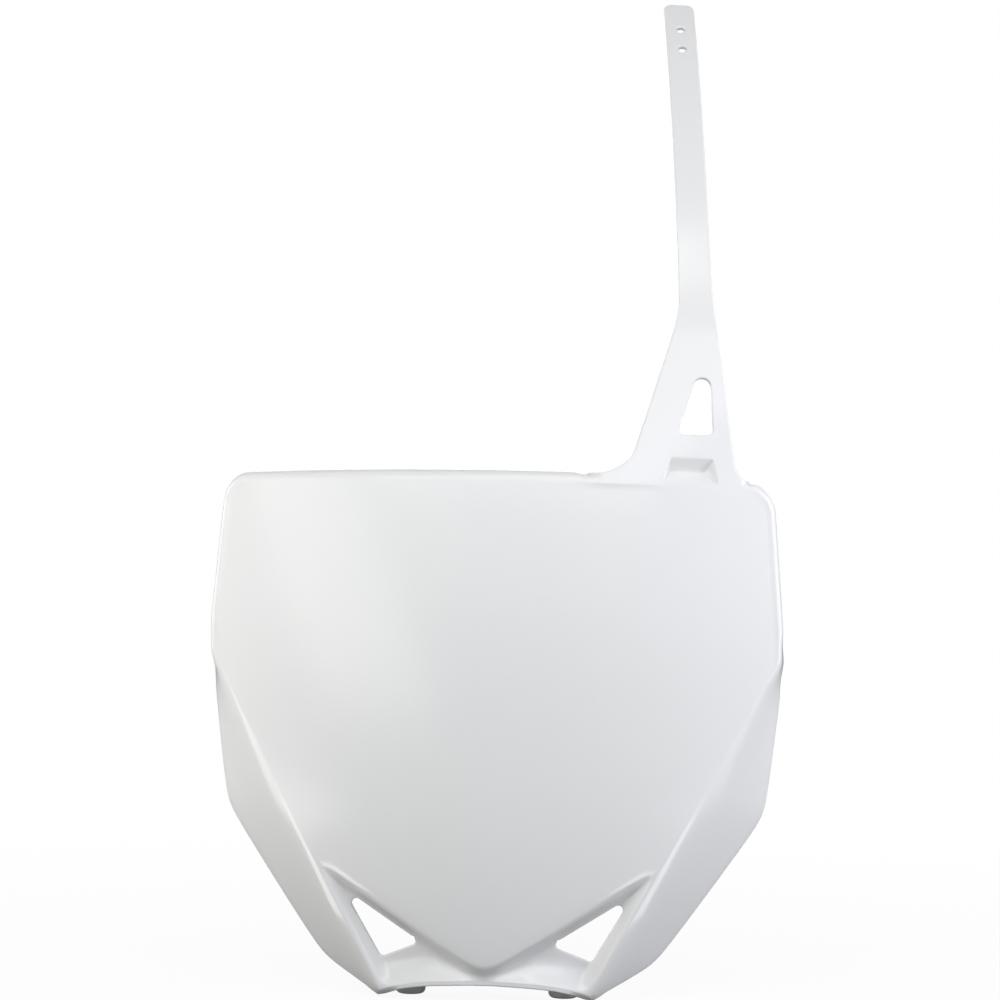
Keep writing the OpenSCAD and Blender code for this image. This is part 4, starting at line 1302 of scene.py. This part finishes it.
def add_lights():
    """Soft studio light: a key above the camera, a slanted panel whose edge shows in the gloss on the left,
    tall softboxes at both sides, bright cards on the floor for the ridges, and a softbox behind."""
    place = facing_board(azimuth=0, height=35, distance=0.8)
    add_lamp("key_softbox", place, size=(1.0, 0.5), watts=3.0)
    place = facing_board(azimuth=0, height=20, distance=1.0)
    add_lamp("front_softbox", place, size=(1.0, 0.5), watts=0.8)
    place = facing_board(azimuth=5, height=60, distance=1.1)
    add_lamp("strap_strip", place, size=(0.5, 0.15), watts=1.05)
    place = facing_board(azimuth=-41, height=7.6, distance=1.5, roll=-43)
    add_lamp("left_panel", place, size=(1.45, 0.5), watts=4.2, tint="#FFFEFD")
    place = facing_board(azimuth=-102, height=11, distance=1.0)
    add_lamp("left_side_softbox", place, size=(0.75, 0.66), watts=3.0)
    place = lying_on_floor(x=-0.45, y=-0.15)
    add_lamp("left_card", place, size=(0.4, 0.3), watts=1.1)
    place = lying_on_floor(x=-0.2, y=-0.08, turn=19)
    add_lamp("left_gloss_card", place, size=(0.2, 0.06), watts=0.18, gloss_only=True)
    place = facing_board(azimuth=50, height=21, distance=1.5)
    add_lamp("right_sky_softbox", place, size=(1.2, 1.0), watts=1.9, tint="#8FA9FF")
    place = facing_board(azimuth=80, height=11, distance=1.0)
    add_lamp("right_side_softbox", place, size=(0.6, 0.66), watts=3.5, tint="#FBFBFF")
    place = facing_board(azimuth=100, height=11, distance=1.0)
    add_lamp("right_back_softbox", place, size=(0.6, 0.66), watts=1.6, tint="#FBFBFF")
    place = lying_on_floor(x=0.45, y=-0.15)
    add_lamp("right_card", place, size=(0.4, 0.3), watts=0.45)
    place = lying_on_floor(x=0.19, y=-0.095, turn=-24)
    add_lamp("right_gloss_card", place, size=(0.2, 0.06), watts=0.15, gloss_only=True)
    place = facing_board(azimuth=180, height=20, distance=1.3)
    add_lamp("back_softbox", place, size=(1.0, 0.7), watts=4.0)


# Camera: place in metres, level view direction, and the turn of the picture in degrees
CAMERA_PLACE = (0.1173, -1.3731, 0.1957)
CAMERA_VIEW = (-0.084, 0.9965, 0.0)
CAMERA_ROLL = 1.1
# Lens and sensor in millimetres, and the nearest and farthest things seen, in metres
CAMERA_LENS = 120.0
CAMERA_SENSOR = 36.0
CAMERA_CLIP = (0.05, 50.0)


def add_camera():
    """The photograph's camera: level, a little below the top edge, and turned slightly about its own axis."""
    data = bpy.data.cameras.new("camera")
    data.lens = CAMERA_LENS
    data.sensor_width = CAMERA_SENSOR
    data.clip_start, data.clip_end = CAMERA_CLIP
    camera = bpy.data.objects.new("camera", data)
    bpy.context.scene.collection.objects.link(camera)
    view = Vector(CAMERA_VIEW).normalized()
    right = view.cross(Vector((0, 0, 1))).normalized()
    up = right.cross(view)
    roll = math.radians(CAMERA_ROLL)
    turned_up = up * math.cos(roll) - right * math.sin(roll)
    turned_right = right * math.cos(roll) + up * math.sin(roll)
    turned = Matrix((turned_right, turned_up, -view)).transposed()
    camera.matrix_world = Matrix.Translation(CAMERA_PLACE) @ turned.to_4x4()
    bpy.context.scene.camera = camera


# Strength of the surroundings as light on the part and in its gloss
WORLD_FILL = 0.215


def add_world():
    """Even white surroundings: full white to the camera, and a dim fill as light and in reflections."""
    world = bpy.data.worlds.new("studio")
    world.use_nodes = True
    tree = world.node_tree
    tree.nodes.clear()
    rays = add_node(tree, "ShaderNodeLightPath")
    fill = add_node(tree, "ShaderNodeBackground", inputs={"Color": WHITE, "Strength": WORLD_FILL})
    seen = add_node(tree, "ShaderNodeBackground", inputs={"Color": WHITE, "Strength": 1.0})
    both = add_node(
        tree,
        "ShaderNodeMixShader",
        links={0: (rays, "Is Camera Ray"), 1: (fill, "Background"), 2: (seen, "Background")},
    )
    add_node(tree, "ShaderNodeOutputWorld", links={"Surface": (both, "Shader")})
    bpy.context.scene.world = world


class NUMBERBOARD_OT_skin(bpy.types.Operator):
    """Builds the moulded skin of the board: face, wings, lips, neck and strap"""

    bl_idname = "number_board.skin"
    bl_label = "Moulded Skin"

    def execute(self, context):
        scene = context.scene
        b = in_millimetres(scene.board_face, scene.board_folds, scene.board_strap)
        points, shares, faces = build_skin(b)
        points, faces = thicken(points, shares, faces, b.wall)
        plastic = white_polypropylene(scene.board_colours)
        piece = add_piece("board_skin", points, without_doubles(faces), plastic)
        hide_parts(NODE)
        return {"FINISHED"}


class NUMBERBOARD_OT_pegs(bpy.types.Operator):
    """Builds the two locating pegs, the shelf they stand on and its two ribs"""

    bl_idname = "number_board.pegs"
    bl_label = "Pegs and Shelf"

    def execute(self, context):
        scene = context.scene
        b = in_millimetres(scene.board_face, scene.board_folds, scene.board_mounts)
        parts = [slab(shelf_outline(b), 0.0, b.shelf_t, SHELF_ROUND)]
        for side in (-1, 1):
            peg = quarter(b.peg_r - b.peg_round, -b.peg_len + b.peg_round, b.peg_round, -90)
            peg.append((b.peg_r, b.shelf_t / 2))
            parts.append(revolve(peg, PEG_STEPS, (side * b.peg_gap / 2, 0, 0), "Z"))
            points, faces = slab(rib_outline(b, b.rib_x), -b.rib_t / 2, b.rib_t / 2, RIB_ROUND)
            points = np.column_stack([points[:, 2] + side * b.rib_x, points[:, 0], points[:, 1]])
            parts.append((points, faces))
        points, faces = join_parts(parts)
        add_piece("peg_shelf", points, faces, white_polypropylene(scene.board_colours))
        return {"FINISHED"}


class NUMBERBOARD_OT_button(bpy.types.Operator):
    """Builds the mushroom button behind the face that the strap hooks on to"""

    bl_idname = "number_board.button"
    bl_label = "Strap Button"

    def execute(self, context):
        scene = context.scene
        b = in_millimetres(scene.board_face, scene.board_folds, scene.board_mounts)
        top = b.wall / 2 + b.stem_len + b.head_t
        round_r = b.head_r - BUTTON_ROUND
        profile = [(b.stem_r, 0.0), (b.stem_r, top - b.head_t)]
        profile += quarter(round_r, top - b.head_t + BUTTON_ROUND, BUTTON_ROUND, -90)
        profile += quarter(round_r, top - BUTTON_ROUND, BUTTON_ROUND, 0)
        place = (b.button_x, float(skin_y(b, b.button_x, b.button_z)) + b.wall / 2, b.button_z)
        points, faces = revolve(profile, BUTTON_STEPS, place, "Y")
        add_piece("strap_button", points, faces, white_polypropylene(scene.board_colours))
        return {"FINISHED"}


class NUMBERBOARD_OT_stage(bpy.types.Operator):
    """Sets up the floor, the studio light and the photograph's camera"""

    bl_idname = "number_board.stage"
    bl_label = "Floor, Light and Camera"

    def execute(self, context):
        colours = context.scene.board_colours
        mesh = bpy.data.meshes.new("floor")
        signs = ((-1, -1), (1, -1), (1, 1), (-1, 1))
        corners = [(across * FLOOR_REACH, along * FLOOR_REACH, 0) for across, along in signs]
        mesh.from_pydata(corners, [], [(0, 1, 2, 3)])
        mesh.materials.append(studio_floor(colours))
        floor = bpy.data.objects.new("floor", mesh)
        floor.location = (0, 0, FLOOR_Z)
        bpy.context.scene.collection.objects.link(floor)
        add_lights()
        add_world()
        add_camera()
        context.scene.view_settings.view_transform = "Standard"
        return {"FINISHED"}


class NUMBERBOARD_PT_panel(bpy.types.Panel):
    """Lists the steps that build the board and its stage"""

    bl_idname = "NUMBERBOARD_PT_panel"
    bl_label = "Number Board"
    bl_space_type = "VIEW_3D"
    bl_region_type = "UI"
    bl_category = "Number Board"

    def draw(self, context):
        for step in STEPS:
            self.layout.operator(step.bl_idname)
        for group in GROUPS:
            settings = getattr(context.scene, group)
            box = self.layout.box()
            for name in settings.bl_rna.properties.keys():
                if name not in BUILT_IN:
                    box.prop(settings, name)


STEPS = (NUMBERBOARD_OT_skin, NUMBERBOARD_OT_pegs, NUMBERBOARD_OT_button, NUMBERBOARD_OT_stage)
GROUPS = {
    "board_face": BoardFaceSizes,
    "board_folds": BoardFoldSizes,
    "board_strap": BoardStrapSizes,
    "board_mounts": BoardMountSizes,
    "board_colours": BoardColours,
}


def register():
    for cls in (*GROUPS.values(), *STEPS, NUMBERBOARD_PT_panel):
        bpy.utils.register_class(cls)
    for name, cls in GROUPS.items():
        setattr(bpy.types.Scene, name, bpy.props.PointerProperty(type=cls))


def unregister():
    for name in GROUPS:
        delattr(bpy.types.Scene, name)
    for cls in (NUMBERBOARD_PT_panel, *reversed(STEPS), *reversed(list(GROUPS.values()))):
        bpy.utils.unregister_class(cls)


def main():
    register()
    bpy.ops.number_board.skin()
    bpy.ops.number_board.pegs()
    bpy.ops.number_board.button()
    bpy.ops.number_board.stage()


if __name__ == "__main__":
    main()
